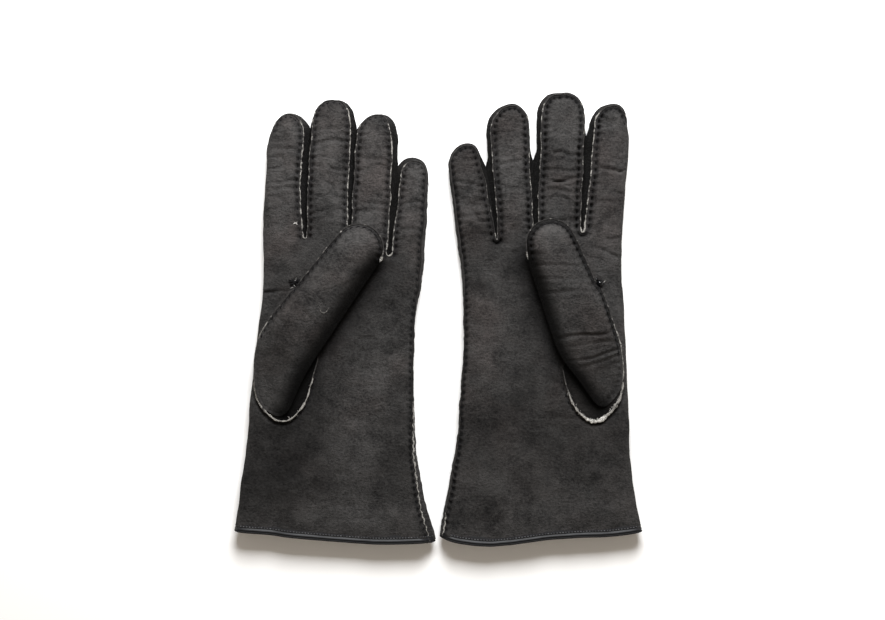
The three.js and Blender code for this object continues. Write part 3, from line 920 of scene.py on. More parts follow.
def palm_skin(glove, thumb):
    outline = closed_outline(glove, glove.inner)
    skin = Skin(outline, glove.inner, TOP_SPACING, ROWS_FINE, hole=thumb.hole)
    plan, d, s, read = skin.plan, skin.d, skin.s, skin.read
    sewn, side_seam = 1 - read(glove.fold), read(glove.side_seam)
    base, rise = skin.rise(read(glove.top_z), 16, 13, sewn, PUFF)
    z = base + (crown(glove, plan) - base) * rise
    flange = glove.flange(side_seam)
    z += stitched_edge(d, s, sewn * (1 - 0.45 * side_seam), glove.seed, flange, glove.side)
    z += creases(glove, plan) * step(d, 1.5, 4) + nicks(glove, plan)
    round_hole, _ = thumb.hole_edge.nearest(plan)
    z -= (0.9 + thumb.heelness(plan)) * bump(round_hole - 1.9, 1.5) - 0.55 * bump(round_hole, 0.9)
    tack = np.linalg.norm(plan - thumb.seam[-1] - TACK[glove.side], axis=1)
    z -= 1.1 * bump(tack, 2.4) - 0.5 * bump(tack - 4, 1.6)
    glove.palm = Surface(plan, skin.faces, z)
    glove.rim_top = glove.top_z + (1 - glove.fold) * FLANGE_LIFT[glove.side]
    hollow, _ = thumb.fold_edge.nearest(plan)
    # Painted shade: darker near the sewn seams and in the crevice beside the thumb's folded side.
    edge = sewn * (1 - 0.85 * side_seam) * step(d - flange, 3.2, 0.2)
    edge = np.maximum(edge, 1.25 * bump(hollow, 9))
    # Painted shade in the stitch holes and along the flange, together with the flange's own dark leather.
    dark = np.maximum(RING_DARK[glove.side] * read(glove.tip), SIDE_DARK[glove.side] * side_seam)
    black = TICK_DARK[glove.side] + (0.95 - TICK_DARK[glove.side]) * side_seam
    ring = np.maximum(dark * step(d - flange, 0.5, -0.5), black * sewn * ticks(d, s, flange))
    # The crevice's painted shade also darkens the tone.
    floats = {"edge": edge, "ring": ring, "painted_shade": 0.74 * np.exp(-hollow / 9)}
    normals = skin.turned(glove.palm.normals, sewn)
    emit(glove, "palm_skin", glove.palm.verts, skin.faces, SUEDE, floats, normals)


def back_skin(glove):
    skin = Skin(closed_outline(glove, glove.path), glove.path, BACK_SPACING, ROWS_COARSE)
    sewn = 1 - skin.read(glove.fold)
    base, rise = skin.rise(skin.read(glove.low_z), 16, 5, sewn, PUFF)
    low = FLOOR_CLEAR + 0.35 + 0.3 * noise(*skin.plan.T, 30, glove.seed + 8)
    z = base + (low - base) * rise
    beat = np.cos(2 * math.pi * skin.s / STITCH_PITCH)
    flange = FLANGE[glove.side]
    z -= sewn * 0.5 * np.clip(1 - skin.d / flange, 0, 1)
    z += sewn * 0.5 * bump(skin.d - flange, 0.9) * (0.62 + 0.38 * beat)
    glove.back = Surface(skin.plan, skin.faces, np.maximum(z, FLOOR_CLEAR))
    glove.rim_low = glove.low_z - (1 - glove.fold) * 0.5
    # Painted shade near the sewn seams.
    floats = {"edge": sewn * step(skin.d, 3.2, 1.2)}
    down = skin.turned(-glove.back.normals, sewn)
    emit(glove, "back_skin", glove.back.verts, skin.faces[:, ::-1], SUEDE, floats, down)


def edge_walls(glove):
    """Fourchettes between the fingers, and the narrow wall along the little-finger side."""
    rows = np.linspace(0, 1, 11)
    inner, outer = glove.inner, glove.path
    outward = -plan_normals(outer)
    tall = glove.rim_top - glove.rim_low
    lean = step(rows, 0.12, 0.8)
    swell = np.sin(math.pi * np.clip((rows - 0.1) / 0.9, 0, 1)) * 0.9
    swell = swell[None] * np.minimum(1, tall / 8)[:, None]
    wave = 0.25 * noise(glove.length[:, None], rows[None] * 9, 7, glove.seed + 30)
    bulge = swell + wave * np.sin(math.pi * rows)[None]
    plan = inner[:, None] + (outer - inner)[:, None] * lean[None, :, None]
    plan = plan + outward[:, None] * bulge[:, :, None]
    z = glove.rim_top[:, None] - tall[:, None] * rows[None]
    verts = np.concatenate([plan, z[:, :, None]], axis=2).reshape(-1, 3)
    faces = grid_faces(len(rows), len(inner))
    column = faces[:, 0] // len(rows)
    faces = faces[(tall[column] > 0.25) & (tall[np.minimum(column + 1, len(inner) - 1)] > 0.25)]
    open_side = np.maximum.reduce([glove.tip, glove.side_seam, step(glove.fold, 0, 0.25)])
    # Painted shade: the walls are darkest deep between the fingers and at the top by the seam, paler where
    # they stand open.
    tone = np.repeat(0.22 + 0.9 * open_side + 1.3 * glove.side_seam, len(rows))
    floats = {"edge": np.tile(np.exp(-rows * 9), len(inner)), "tone": tone}
    emit(glove, "fourchettes", verts, faces[:, ::-1], SHADED_FOURCHETTE, floats)


def runs(mask):
    """(start, end) of each unbroken run of True."""
    padded = np.concatenate([[0], mask.astype(int), [0]])
    change = np.flatnonzero(np.diff(padded))
    return list(zip(change[::2], change[1::2]))


def raw_edge(glove, path, z, cream, mask, seed, lift=0.1, fluff=None):
    """The cut edge of the hide, showing pale where the finish doesn't reach."""
    outward = -plan_normals(path)
    lengths = arc_length(path)
    parts, tones = [], []
    for a, b in runs(mask):
        if b - a < 6:
            continue
        part, count = slice(a, b), b - a
        s, pale = lengths[part], cream[part]
        ends = np.minimum(1, np.minimum(np.arange(count), np.arange(count)[::-1]) / 3 + 0.15)
        ragged = 1 + 0.45 * noise(s, 0, 2.4, seed) + 0.25 * noise(s, 0, 0.9, seed + 1)
        half_width = (0.26 + 0.15 * np.clip(pale, 0, 1.4)) * ragged * ends
        half_height = (0.34 + 0.10 * pale) * ends * (1 + 0.2 * noise(s, 0, 1.6, seed + 2))
        shift = 0.22 * noise(s, 0, 4, seed + 3)
        half_width *= 1 + 0.12 * np.cos(s / STITCH_PITCH * 2 * math.pi)
        if fluff is not None:
            half_width *= 1 + (fluff[part] - 1) * (1 + 0.5 * noise(s, 0, 1.3, seed + 9))
        centre = path[part] + outward[part] * (0.25 + shift)[:, None]
        centre = np.column_stack([centre, z[part] + lift + 0.2 * shift])
        up = np.tile((0.0, 0.0, 1.0), (count, 1))
        parts.append(tube(centre, flat(outward[part]), up, half_width, half_height))
        tones.append(np.repeat(pale, 8))
    return *together(parts), RAW, {"cream": np.concatenate(tones)}


def seam_stitches(glove, surface, path, mask, inset, seed, flip=1, radius=STITCH_RADIUS):
    """Hand stitches at an inset from a sewn edge, and which part of the glove each face is on."""
    line = path + plan_normals(path) * np.reshape(inset, (-1, 1))
    source = arc_length(line)
    line = np.column_stack([line, mask])
    s = arc_length(path)
    at = np.interp(np.arange(STITCH_PITCH / 2, s[-1], STITCH_PITCH), s, source)
    here, ahead = (np.column_stack([np.interp(a, source, v) for v in line.T]) for a in (at, at + 0.4))
    here, ahead = here[here[:, 2] > 0.5], ahead[here[:, 2] > 0.5]
    z, normal = surface.at(here)
    along = unit(flat(ahead[:, :2] - here[:, :2]))
    jitter = np.random.default_rng(seed).normal(0, 0.16, (len(here), 2))
    along[:, :2] += jitter * 0.8
    along = unit(along - normal * (along * normal).sum(1)[:, None])
    points = np.column_stack([here[:, :2] + jitter * 0.4, z]) + normal * 0.18 * flip
    verts, faces = stitches(points, along, normal * flip, STITCH_LENGTH, radius)
    return verts, faces, np.repeat(glove.region(points[:, :2]), len(faces) // len(points))


def finger_seams(glove):
    sewn = (1 - glove.fold) > 0.35
    emit(glove, "raw_edges", *raw_edge(glove, glove.inner, glove.rim_top, glove.cream, sewn, glove.seed + 60))
    low_edge = raw_edge(glove, glove.path, glove.rim_low, glove.cream * 0.5, sewn, glove.seed + 70, lift=-0.1)
    emit(glove, "back_raw_edges", *low_edge)
    inset = glove.flange(glove.side_seam)
    verts, faces, owner = seam_stitches(glove, glove.palm, glove.inner, sewn, inset, glove.seed)
    emit(glove, "stitches", verts, faces, THREAD, owner=owner)
    inset = FLANGE[glove.side]
    verts, faces, owner = seam_stitches(glove, glove.back, glove.path, sewn, inset, glove.seed + 1, flip=-1)
    emit(glove, "back_stitches", verts, faces, THREAD, owner=owner)


# ---- thumb ----
TACK = {"left": (1.9, 4.3), "right": (0.5, 1.9)}  # from the top of the thumb's seam to its knot
# Where the folded thumb leaves the heel of its gusset: share of the way round it, and how far inside it.
THUMB_HEEL = {"left": (0.315, 1.2), "right": (0.365, 3.4)}
HEEL_CREAM = {"left": 0.2, "right": 0.7}  # how much paler the cut edge is round the gusset's heel
HEEL_FLUFF = {"left": 0.4, "right": 2.0}  # and how much wider it has frayed
FOLD_SWELL = {"left": 0.0, "right": 1.5}  # how far the folded side of the thumb bulges
FOLD_PAINTED_SHADE_REACH = {"left": 13.0, "right": 10.5}  # how far round the folded side the painted shade of the crevice reaches
THUMB_WAIST = {"left": 0.7, "right": 2.5}  # how far the fold is drawn in between the fork and the heel
FOLD_LEAVES = 9  # how far above the fork the fold starts to curve towards the heel


class Thumb:
    """Plan outlines of the thumb: the hole in the palm, the flat gusset, and the folded thumb over it."""

    def __init__(self, glove):
        side, sign = glove.side, glove.sign
        joint = joint_of(f"{side}_thumb_fold")
        self.pos = np.array([joint["pos_m"][0] * sign / MM, joint["pos_m"][1] / MM])
        self.pivot_z = joint["pos_m"][2]
        fork = np.array([joint["axis"][0] * sign, joint["axis"][1]])
        fork /= np.linalg.norm(fork)
        self.fork = fork if fork[1] < 0 else -fork
        self.away = np.array([-self.fork[1], self.fork[0]])
        gusset = self.chain(node_hull(f"{side}_thumb_gusset", sign)[::-1], -1)
        sleeve = self.chain(node_hull(f"{side}_thumb_sleeve", sign)[::-1], 1)
        self.seam = smoothed(resample(gusset, BOUNDARY_SPACING), 20)
        self.sleeve = resample(sleeve, BOUNDARY_SPACING)
        self.hole = resample(looped(self.seam), BOUNDARY_SPACING)[:-1]
        self.hole_edge = Edge(self.hole, closed=True)
        self.draw_body(side)

    def along(self, plan):
        return (plan - self.pos) @ self.away

    def chain(self, outline, way):
        """The run of a clockwise outline on one side of the fork."""
        dense = resample(looped(outline), 0.8)[:-1]
        mask = self.along(dense) * way > 0.8
        start = next(i for i in range(len(mask)) if mask[i] and not mask[i - 1])
        dense, mask = np.roll(dense, -start, axis=0), np.roll(mask, -start)
        return dense[mask]

    def heelness(self, plan):
        return step(-self.along(plan), 18, 44)

    def draw_body(self, side):
        """The folded thumb's outline: heel, sewn index side, tip, and the fold back down to the heel."""
        share, within = THUMB_HEEL[side]
        seam = self.seam
        normal = plan_normals(seam)
        start, lead = int(len(seam) * share), int(len(seam) * (share + 0.05))
        end = seam[start] + normal[start] * within
        inset = within * step(np.arange(len(seam) - lead), 22, 0)[:, None]
        lower = seam[lead:] + normal[lead:] * inset
        keep = np.arange(len(self.sleeve)) < len(self.sleeve) / 2
        upper = self.sleeve[keep | (self.along(self.sleeve) > FOLD_LEAVES)]
        fold_line = self.fold_line(upper, end)
        waist = THUMB_WAIST[side] * np.sin(np.linspace(0, math.pi, len(fold_line))) ** 2
        fold_line = fold_line + plan_normals(fold_line) * waist[:, None]
        pieces = [end[None], lower, upper, fold_line]
        body, label = joined(pieces, closed=True)
        body = smoothed(body, 16, closed=True)
        heel = bump(np.linalg.norm(body - end, axis=1), 10)[:, None]
        body = body * (1 - heel) + smoothed(body, 70, closed=True) * heel
        # Folded, not sewn, along the side that faces the palm.
        fold = np.where((label == 3) | (label == 0), 1.0, 0.0)
        ids = np.flatnonzero(label == 2)
        fold[ids[int(len(ids) * 0.62) :]] = 1.0
        self.fold = smoothed(fold, 30, closed=True)
        swell = FOLD_SWELL[side] * self.fold * step(self.along(body), -30, 0)
        self.body = smoothed(body - plan_normals(body, closed=True) * swell[:, None], 6, closed=True)
        start = int(self.fold.argmin())
        run = np.roll(self.body, -start, axis=0)[np.roll(self.fold, -start) > 0.6]
        self.fold_edge = Edge(run)

    def fold_line(self, upper, end):
        """An even curve that leaves the sleeve's side smoothly and ends at the heel."""
        foot = upper[-1]
        leaves = (upper[-1] - upper[-10]) / np.linalg.norm(upper[-1] - upper[-10])
        chord = end - foot
        size = np.linalg.norm(chord)
        chord = chord / size
        arrives = 2 * (chord @ leaves) * chord - leaves
        t = np.linspace(0, 1, 60)[1:-1, None]
        start_part = foot * (2 * t**3 - 3 * t**2 + 1) + leaves * size * (t**3 - 2 * t**2 + t)
        return start_part + end * (3 * t**2 - 2 * t**3) + arrives * size * (t**3 - t**2)


def thumb_heights(thumb, plan):
    """Crown and underside of the folded thumb."""
    along = thumb.along(plan)
    crown_z = HEEL_CROWN_Z + (THUMB_CROWN_Z - HEEL_CROWN_Z) * step(along, -56, -8)
    under = GUSSET_Z + 0.9 + (THUMB_UNDER_Z - GUSSET_Z - 0.9) * step(along, -30, 0)
    return crown_z, under


def thumb_rim(thumb):
    """Height of the thumb's edge for each point of its outline."""
    crown_z, under = thumb_heights(thumb, thumb.body)
    fold_z = under + 0.24 * (crown_z - under)
    seam_z = GUSSET_Z + 0.2 + (THUMB_EDGE_Z - GUSSET_Z - 0.2) * step(thumb.along(thumb.body), -4, 26)
    return smoothed(fold_z * thumb.fold + seam_z * (1 - thumb.fold), 12, closed=True)


def thumb_skin(glove, thumb):
    thumb.rim_z = thumb_rim(thumb)
    skin = Skin(thumb.body, thumb.body, 1.0, ROWS_FINE, closed=True)
    plan, d, s = skin.plan, skin.d, skin.s
    fold = skin.read(thumb.fold)
    sewn = 1 - fold
    crown_z, under = thumb_heights(thumb, plan)
    along = thumb.along(plan)
    w, y = plan.T
    seed = glove.seed + 90
    base, rise = skin.rise(skin.read(thumb.rim_z), 14, 20, sewn, THUMB_PUFF)
    top = crown_z + 0.7 * noise(w, y, 26, seed) + 0.5 * noise(w, y, 11, seed + 1) + 0.9 * crumple(w, y, seed)
    top += 0.24 * noise(w, y, 5.5, seed + 2) + 0.09 * noise(w, y, 3.2, seed + 3)
    top -= 0.29 * np.clip((plan - thumb.pos) @ thumb.fork, -16, 24)
    slack = skin.field.solve(d < ON_RIM, fold, 9, 0.4)
    z = base + (top - base) * rise ** (1 + 1.7 * slack)
    firm = 1 - 0.7 * step(-along, 12, 30)
    flange = THUMB_FLANGE[glove.side]
    z += stitched_edge(d, s, sewn * firm, seed, flange, glove.side)
    z += thumb_creases(glove, thumb, plan) * step(d, 1, 4)
    thumb.top = Surface(plan, skin.faces, z)
    # Painted shade: darker near the sewn seam and down the folded side that turns away from the light.
    near = sewn * firm * step(d, flange + 3.2, flange + 0.2)
    near = np.maximum(near, 1.2 * slack * step(d, 8, 0))
    # Painted shade in the stitch holes and along the flange, with the flange's own dark leather.
    ring = RING_DARK[glove.side] * sewn * step(d, flange + 0.5, flange - 0.5) * step(along, -34, -18)
    ring = np.maximum(ring, TICK_DARK[glove.side] * sewn * firm * ticks(d, s, flange))
    hollow, _ = thumb.fold_edge.nearest(plan)
    # Painted shade in the crevice along the fold also darkens the tone.
    floats = {"edge": near, "ring": ring, "painted_shade": 0.95 * (1 - step(hollow, 1.2, FOLD_PAINTED_SHADE_REACH[glove.side]))}
    normals = skin.turned(thumb.top.normals, sewn)
    emit_thumb(glove, thumb, "skin", thumb.top.verts, skin.faces, SUEDE, floats, normals)
    low = base + (under - base) * rise
    low -= sewn * 0.3 * np.clip(1 - d / 1.8, 0, 1)
    lower = Surface(plan, skin.faces, np.minimum(low, z - 0.25 * step(d, 0.0, 0.3)))
    down = skin.turned(-lower.normals, sewn)
    emit_thumb(glove, thumb, "underside", lower.verts, skin.faces[:, ::-1], SUEDE, {"edge": near}, down)


# Distance along the thumb from the fork, slope, depth, and where across the thumb the wrinkle is deepest.
THUMB_CREASES = {
    "left": ((34, -0.2, 0.4, 0), (-12, 0.15, 0.45, 0), (4, 0.3, 0.4, -6)),
    "right": ((83, 2.2, 0.7, -26), (45, 2.2, 0.65, -15), (95, 2.0, 0.5, -25), (62, 2.1, 0.5, -18),
              (-13, 1.54, 1.2, 1), (-31, 1.16, 1.2, 9), (-22, 1.4, 0.65, 1), (-38, 1.2, 0.65, 12)),
}


def thumb_creases(glove, thumb, plan):
    """Wrinkles across the thumb: distance along it from the fork, slope, depth."""
    along = thumb.along(plan)
    over = (plan - thumb.pos) @ thumb.fork
    z = np.zeros(len(plan))
    for i, (at, slope, depth, centre) in enumerate(THUMB_CREASES[glove.side]):
        t = (along - at - slope * over) / math.hypot(1, slope)
        t = t - 1.2 * noise(over, 0, 8, glove.seed + 40 + i)
        reach = bump(over - centre, 13)
        z += reach * depth * (-bump(t, 0.9) + 0.5 * bump(np.abs(t) - 2.0, 1.2))
    return z


def gusset_patch(glove, thumb):
    """The flat leather of the gusset, in the hole under the folded thumb."""
    skin = Skin(thumb.hole, thumb.hole, 1.3, ROWS_GUSSET, closed=True)
    rim_z = smoothed(glove.palm.at(thumb.hole)[0], 10, closed=True)
    base, rise = skin.rise(skin.read(rim_z), 20, GUSSET_Z - 1, 1, 5)
    z = base + (GUSSET_Z - base) * rise
    z += 0.45 * np.clip(1 - skin.d / 1.8, 0, 1)
    surface = Surface(skin.plan, skin.faces, z)
    hollow, _ = thumb.fold_edge.nearest(skin.plan)
    # Painted shade near the seam and in the crevice under the thumb's fold.
    floats = {"edge": step(skin.d, 3.2, 1.2), "painted_shade": 0.92 * (1 - step(hollow, 1, 18))}
    on_hand(glove, "thumb_gusset_skin", surface.verts, skin.faces, SUEDE, floats, surface.normals)


def thumb_seams(glove, thumb):
    """The pale seam round the gusset, and the sleeve's own seam up the index side and over the tip."""
    side, seam = glove.side, thumb.seam
    z = smoothed(glove.palm.at(seam)[0], 8) + 0.9
    s = arc_length(seam)
    share = s / s[-1]
    cream = 0.30 + 0.62 * step(share, 0.05, 0.16) + HEEL_CREAM[side] * bump(share - 0.31, 0.07)
    cream *= 1 - 0.85 * step(share, 0.79, 0.87)
    cream += 0.15 * noise(s, 0, 14, glove.seed + 3)
    fluff = 1 + HEEL_FLUFF[side] * bump(share - 0.33, 0.11) + 0.5 * bump(share - 0.55, 0.1)
    whole = np.ones(len(seam), bool)
    rim = raw_edge(glove, seam, z, cream, whole, glove.seed + 80, fluff=fluff)
    on_hand(glove, "thumb_hole_raw_edge", *rim)
    sewn = (1 - thumb.fold) > 0.4
    order = np.roll(np.arange(len(sewn)), -int(np.flatnonzero(thumb.fold > 0.9)[-1]) - 1)
    body, z, sewn = thumb.body[order], thumb.rim_z[order] + 0.75, sewn[order]
    along = thumb.along(body)
    from_end = np.linalg.norm(body - body[np.flatnonzero(sewn)[-1]], axis=1)
    tone, fluff = 0.28 + 1.2 * bump(from_end, 3.6), 1 + 0.9 * bump(from_end, 3)
    rim = raw_edge(glove, body, z, tone, sewn & (along > 2), glove.seed + 85, fluff=fluff)
    emit_thumb(glove, thumb, "raw_edge", *rim)
    upper = sewn & (along > -30)
    inset = THUMB_FLANGE[side]
    row = seam_stitches(glove, thumb.top, body, upper, inset, glove.seed + 4, radius=THUMB_STITCH_RADIUS)
    emit_thumb(glove, thumb, "stitches", *row[:2], THREAD)
    level = (share < THUMB_HEEL[side][0] + 0.02) & (share > 0.05)
    row = seam_stitches(glove, glove.palm, seam[::-1], level[::-1], FLANGE[side], glove.seed + 6)
    on_hand(glove, "thumb_hole_stitches", *row[:2], THREAD)


# ---- loose thread and lint ----
FUZZ = {"left": 24, "right": 240}  # fibres round the gusset's heel


def strand(points, radius, closed=False):
    """A thread or fibre through a few points, thinner towards its ends."""
    points = smoothed(resample(np.array(points, float), 0.3), 5, closed)
    along = tangents(points, closed)
    across = unit(np.cross(np.tile((0.0, 0.0, 1.0), (len(points), 1)), along))
    share = np.linspace(0, 1, len(points))
    taper = np.clip(6 * np.minimum(share, 1 - share), 0.12, 1)
    size = np.full(len(points), radius) if closed else radius * taper
    return tube(points, across, np.cross(along, across), size, size, 6, closed)


def bead(centre, radius):
    angle = np.linspace(0.12, math.pi - 0.12, 12)
    points = centre + np.column_stack([angle * 0, angle * 0, -radius * np.cos(angle)])
    east, north = np.tile((1.0, 0.0, 0.0), (12, 1)), np.tile((0.0, 1.0, 0.0), (12, 1))
    return tube(points, east, north, radius * np.sin(angle), radius * np.sin(angle), 14)


def over_surface(surface, plan, lift):
    plan = np.array(plan, float)
    return np.column_stack([plan, surface.at(plan)[0] + lift])


def fibre(start, angles, stride):
    """Plan points of a fibre that sets out from start and turns through angles."""
    return start + np.cumsum(np.column_stack([np.cos(angles), np.sin(angles)]) * stride, axis=0)


CROSS_STITCHES = (  # the ends of the left glove's stitches, from its tack
    ((-4.6, 0.8), (3.4, 1.2)), ((-3.8, -1.2), (3.0, 2.6)), ((-2.0, 2.6), (1.6, -2.2)),
    ((-4.4, 2.2), (0.6, 0.4)), ((0.4, 2.6), (3.8, -0.4)),
)
KNOT_LOOPS = (((1.2, -1.9), 2.0, 1.1), ((2.0, 1.0), 1.7, 0.9))  # middle, half length, half width
FLECK = (((-1.3, -0.4), (1.1, 0.9)), ((0.2, 0.4), (1.2, -0.9)), ((-0.6, 0.8), (0.3, -0.2)))


def knot(glove, thumb):
    """The end of the thumb's seam: a knot with two loops on the right glove, cross stitches on the left."""
    at = thumb.seam[-1] + TACK[glove.side]
    if glove.side == "right":
        parts = [bead(over_surface(glove.palm, [at], 2.6)[0], 2.2)]
        angle = np.linspace(0, 2 * math.pi, 24, endpoint=False)
        for middle, long, wide in KNOT_LOOPS:
            ring = at + np.array(middle) + np.column_stack([wide * np.cos(angle), long * np.sin(angle)])
            parts.append(strand(over_surface(glove.palm, ring, 1.6), 0.55, True))
        verts, faces = together(parts)
        ones = np.ones(len(verts))
        on_hand(glove, "tack_knot", verts, faces, BINDING, {"edge": ones, "gloss": 0.62 * ones})
        return at
    lift = 0.3 + 0.6 * np.sin(np.linspace(0, math.pi, 7))
    lines = [at + np.linspace(a, b, 7) for a, b in CROSS_STITCHES]
    parts = [strand(over_surface(glove.palm, line, lift), 0.5) for line in lines]
    on_hand(glove, "tack_knot", *together(parts), THREAD)
    return at


def fuzz(glove, thumb):
    """Short pale fibres that stand out of the cut edge, mostly round the heel of the gusset."""
    rng = np.random.default_rng(glove.seed + 5)
    seam, normal = thumb.seam, plan_normals(thumb.seam)
    parts = []
    for _ in range(FUZZ[glove.side]):
        i = int(len(seam) * np.clip(rng.normal(0.33, 0.09), 0.12, 0.75))
        heading = math.atan2(normal[i, 1], normal[i, 0]) + rng.normal(0, 1.0) + math.pi * (rng.random() < 0.4)
        angles = heading + np.linspace(0, rng.uniform(-1.2, 1.2), 5)
        line = fibre(seam[i] + rng.normal(0, 0.35, 2), angles, rng.uniform(0.12, 0.34))
        parts.append(strand(over_surface(glove.palm, line, rng.uniform(0.9, 1.9)), rng.uniform(0.05, 0.10)))
    verts, faces = together(parts)
    on_hand(glove, "seam_fuzz", verts, faces, RAW, {"cream": np.full(len(verts), 1.3)})


def lint(glove, thumb, at):
    """A few pale fibres on the nap. The left glove also has a fleck by a crotch and a curl on the thumb."""
    rng = np.random.default_rng(glove.seed)
    left = glove.side == "left"
    parts = []
    for _ in range(7 if left else 3):
        start = at + rng.normal(0, 1.5, 2)
        angles = rng.uniform(0, 2 * math.pi) + np.linspace(0, rng.uniform(-0.9, 0.9), 6)
        line = fibre(start, angles, rng.uniform(0.3, 0.6))
        parts.append(strand(over_surface(glove.palm, line, 0.7), 0.10))
    if left:
        fleck = glove.crotches[0] + (-6, 10)
        for a, b in FLECK:
            parts.append(strand(over_surface(glove.palm, fleck + np.linspace(a, b, 5), 0.5), 0.22))
    verts, faces = together(parts)
    on_hand(glove, "lint", verts, faces, RAW, {"cream": np.full(len(verts), 1.3)})
    if left:
        angles = np.linspace(1.9, 5.6, 14)
        curl = thumb.pos + thumb.away * 13.8 - thumb.fork * 3.1
        curl = curl + np.column_stack([2.3 * np.cos(angles), 3.4 * np.sin(angles)])
        curl = np.vstack([curl, curl[-1] + (1.2, 1.6)])
        verts, faces = strand(over_surface(thumb.top, curl, 0.3), 0.13)
        emit_thumb(glove, thumb, "lint", verts, faces, RAW, {"cream": np.full(len(verts), 0.8)})


# ---- cuff ----
STITCH_LINE = 2.7  # from the loop to the machine stitches of the hem
HEM_PITCH = 1.8
# The band's section from the palm over the rolled hem into the cuff: how far out, and how far up the hand.
BAND = (
    (-0.5, 4.4), (-0.1, 3.8), (0.22, 3.3), (0.36, 2.7), (0.26, 2.3), (0.22, 2.0), (0.36, 1.7),
    (0.62, 1.3), (0.82, 0.85), (0.74, 0.45), (0.40, 0.18), (0.26, 0.05), (0.6, -0.15), (0.84, -0.5),
    (0.74, -0.9), (0.1, -1.2), (-0.5, -1.1), (-1.1, -0.5), (-1.4, 0.8), (-1.5, 4.0),
)
WOOL = (  # the wool's section: how far up the hand, and how far inside the skins
    (2.6, 1.1), (1.2, 1.6), (1.0, 2.3), (1.6, 3.0), (3.0, 3.5), (5.5, 3.9), (9, 4.2), (14, 4.4), (20, 4.6),
    (27, 4.8), (34, 5.0), (40, 5.6), (42, 6.6),
)


def cuff_loop(glove):
    """The skins' open edge as one closed loop, from the index corner over the palm and back under."""
    def cut_edge(surface, path):
        ws = np.linspace(path[0, 0] + 0.3, path[-1, 0] - 0.3, 110)
        ys = np.interp(ws, glove.cuff[:, 0], glove.cuff[:, 1])
        return np.column_stack([ws, ys, surface.at(np.column_stack([ws, ys + 0.8]))[0]])

    corner = np.array([[*glove.path[0], MID_Z]])
    wall = np.array([[*glove.inner[-1], glove.top_z[-1]], [*glove.path[-1], glove.low_z[-1]]])
    top, low = cut_edge(glove.palm, glove.inner), cut_edge(glove.back, glove.path)[::-1]
    loop = np.vstack([corner, top, wall, low, corner])
    return smoothed(resample(loop, 1.1)[:-1], 4, closed=True)


def cuff(glove):
    """The bound edge: a flat band on the leather, and a roll over the hem."""
    loop = cuff_loop(glove)
    ahead = np.roll(loop, -1, axis=0) - np.roll(loop, 1, axis=0)
    level = np.zeros(len(loop))
    outward = unit(np.column_stack([-ahead[:, 2], level, ahead[:, 0]]))
    rises = [line[12] - line[0] for line in (glove.index_edge, glove.little_edge)]
    slopes = [rise[0] / rise[1] for rise in rises]
    share = (loop[:, 0] - loop[:, 0].min()) / np.ptp(loop[:, 0])
    inward = np.column_stack([slopes[0] * (1 - share) + slopes[1] * share, level + 1, level])
    out, back = np.array(BAND).T
    verts = loop[:, None] + outward[:, None] * out[None, :, None] + inward[:, None] * back[None, :, None]
    s = arc_length(loop)
    tick = np.cos(2 * math.pi * s / HEM_PITCH)
    verts[:, 3:6, 2] += (0.12 * noise(s, 0, 5, glove.seed) + 0.1 * tick)[:, None]
    verts[:, :, 2] = np.maximum(verts[:, :, 2], 0.12)
    tone = np.tile(step(back, 0.3, 0.0) + 0.95 * step(back, 1.9, 2.4), len(loop))
    faces = grid_faces(len(out), len(loop), closed=True)
    on_hand(glove, "cuff_band", verts.reshape(-1, 3), faces, BINDING, {"edge": tone})
    glove.loop, glove.outward, glove.inward = loop, outward, inward
    cuff_stitches(glove, s)
    fleece(glove)


def cuff_stitches(glove, s):
    """Machine stitches that hold the band."""
    targets = np.arange(0, s[-1], HEM_PITCH)

    def pick(values):
        return np.column_stack([np.interp(targets, s, values[:, k]) for k in range(3)])

    points = pick(glove.loop) + pick(glove.inward) * STITCH_LINE + pick(glove.outward) * 0.44
    points[:, 2] = np.maximum(points[:, 2], 0.3)
    along = pick(tangents(glove.loop, closed=True))
    verts, faces = stitches(points, along, pick(glove.outward), 1.1, 0.36, 0.25)
    verts[:, 2] = np.maximum(verts[:, 2], 0.05)
    on_hand(glove, "cuff_stitches", verts, faces, THREAD, {"cream": np.ones(len(verts))})


def fleece(glove):
    """The wool inside the cuff, closing in as it goes up the hand."""
    loop = glove.loop
    middle_z = (loop[:, 2].max() + loop[:, 2].min()) / 2
    half = loop[:, 2].max() - middle_z
    s = arc_length(loop)
    rings = []
    for k, (back, inset) in enumerate(WOOL):
        fluff = 0.45 * noise(s, back, 2.2, glove.seed + 50) + 0.3 * noise(s, back * 1.7, 1.1, glove.seed + 51)
        inset = inset + fluff * (0.5 if k < 2 else 1) * (inset < 6)
        ring = loop - glove.outward * np.minimum(inset, half - 0.15)[:, None] + glove.inward * back
        ring[:, 2] = middle_z + (ring[:, 2] - middle_z) * 0.98
        rings.append(ring)
    verts = np.stack(rings, axis=1).reshape(-1, 3)
    faces = grid_faces(len(WOOL), len(loop), closed=True)
    on_hand(glove, "cuff_fleece", verts, faces[:, ::-1], FLEECE)


# ---- materials ----
BLACK, WHITE = (0, 0, 0), (1, 1, 1)


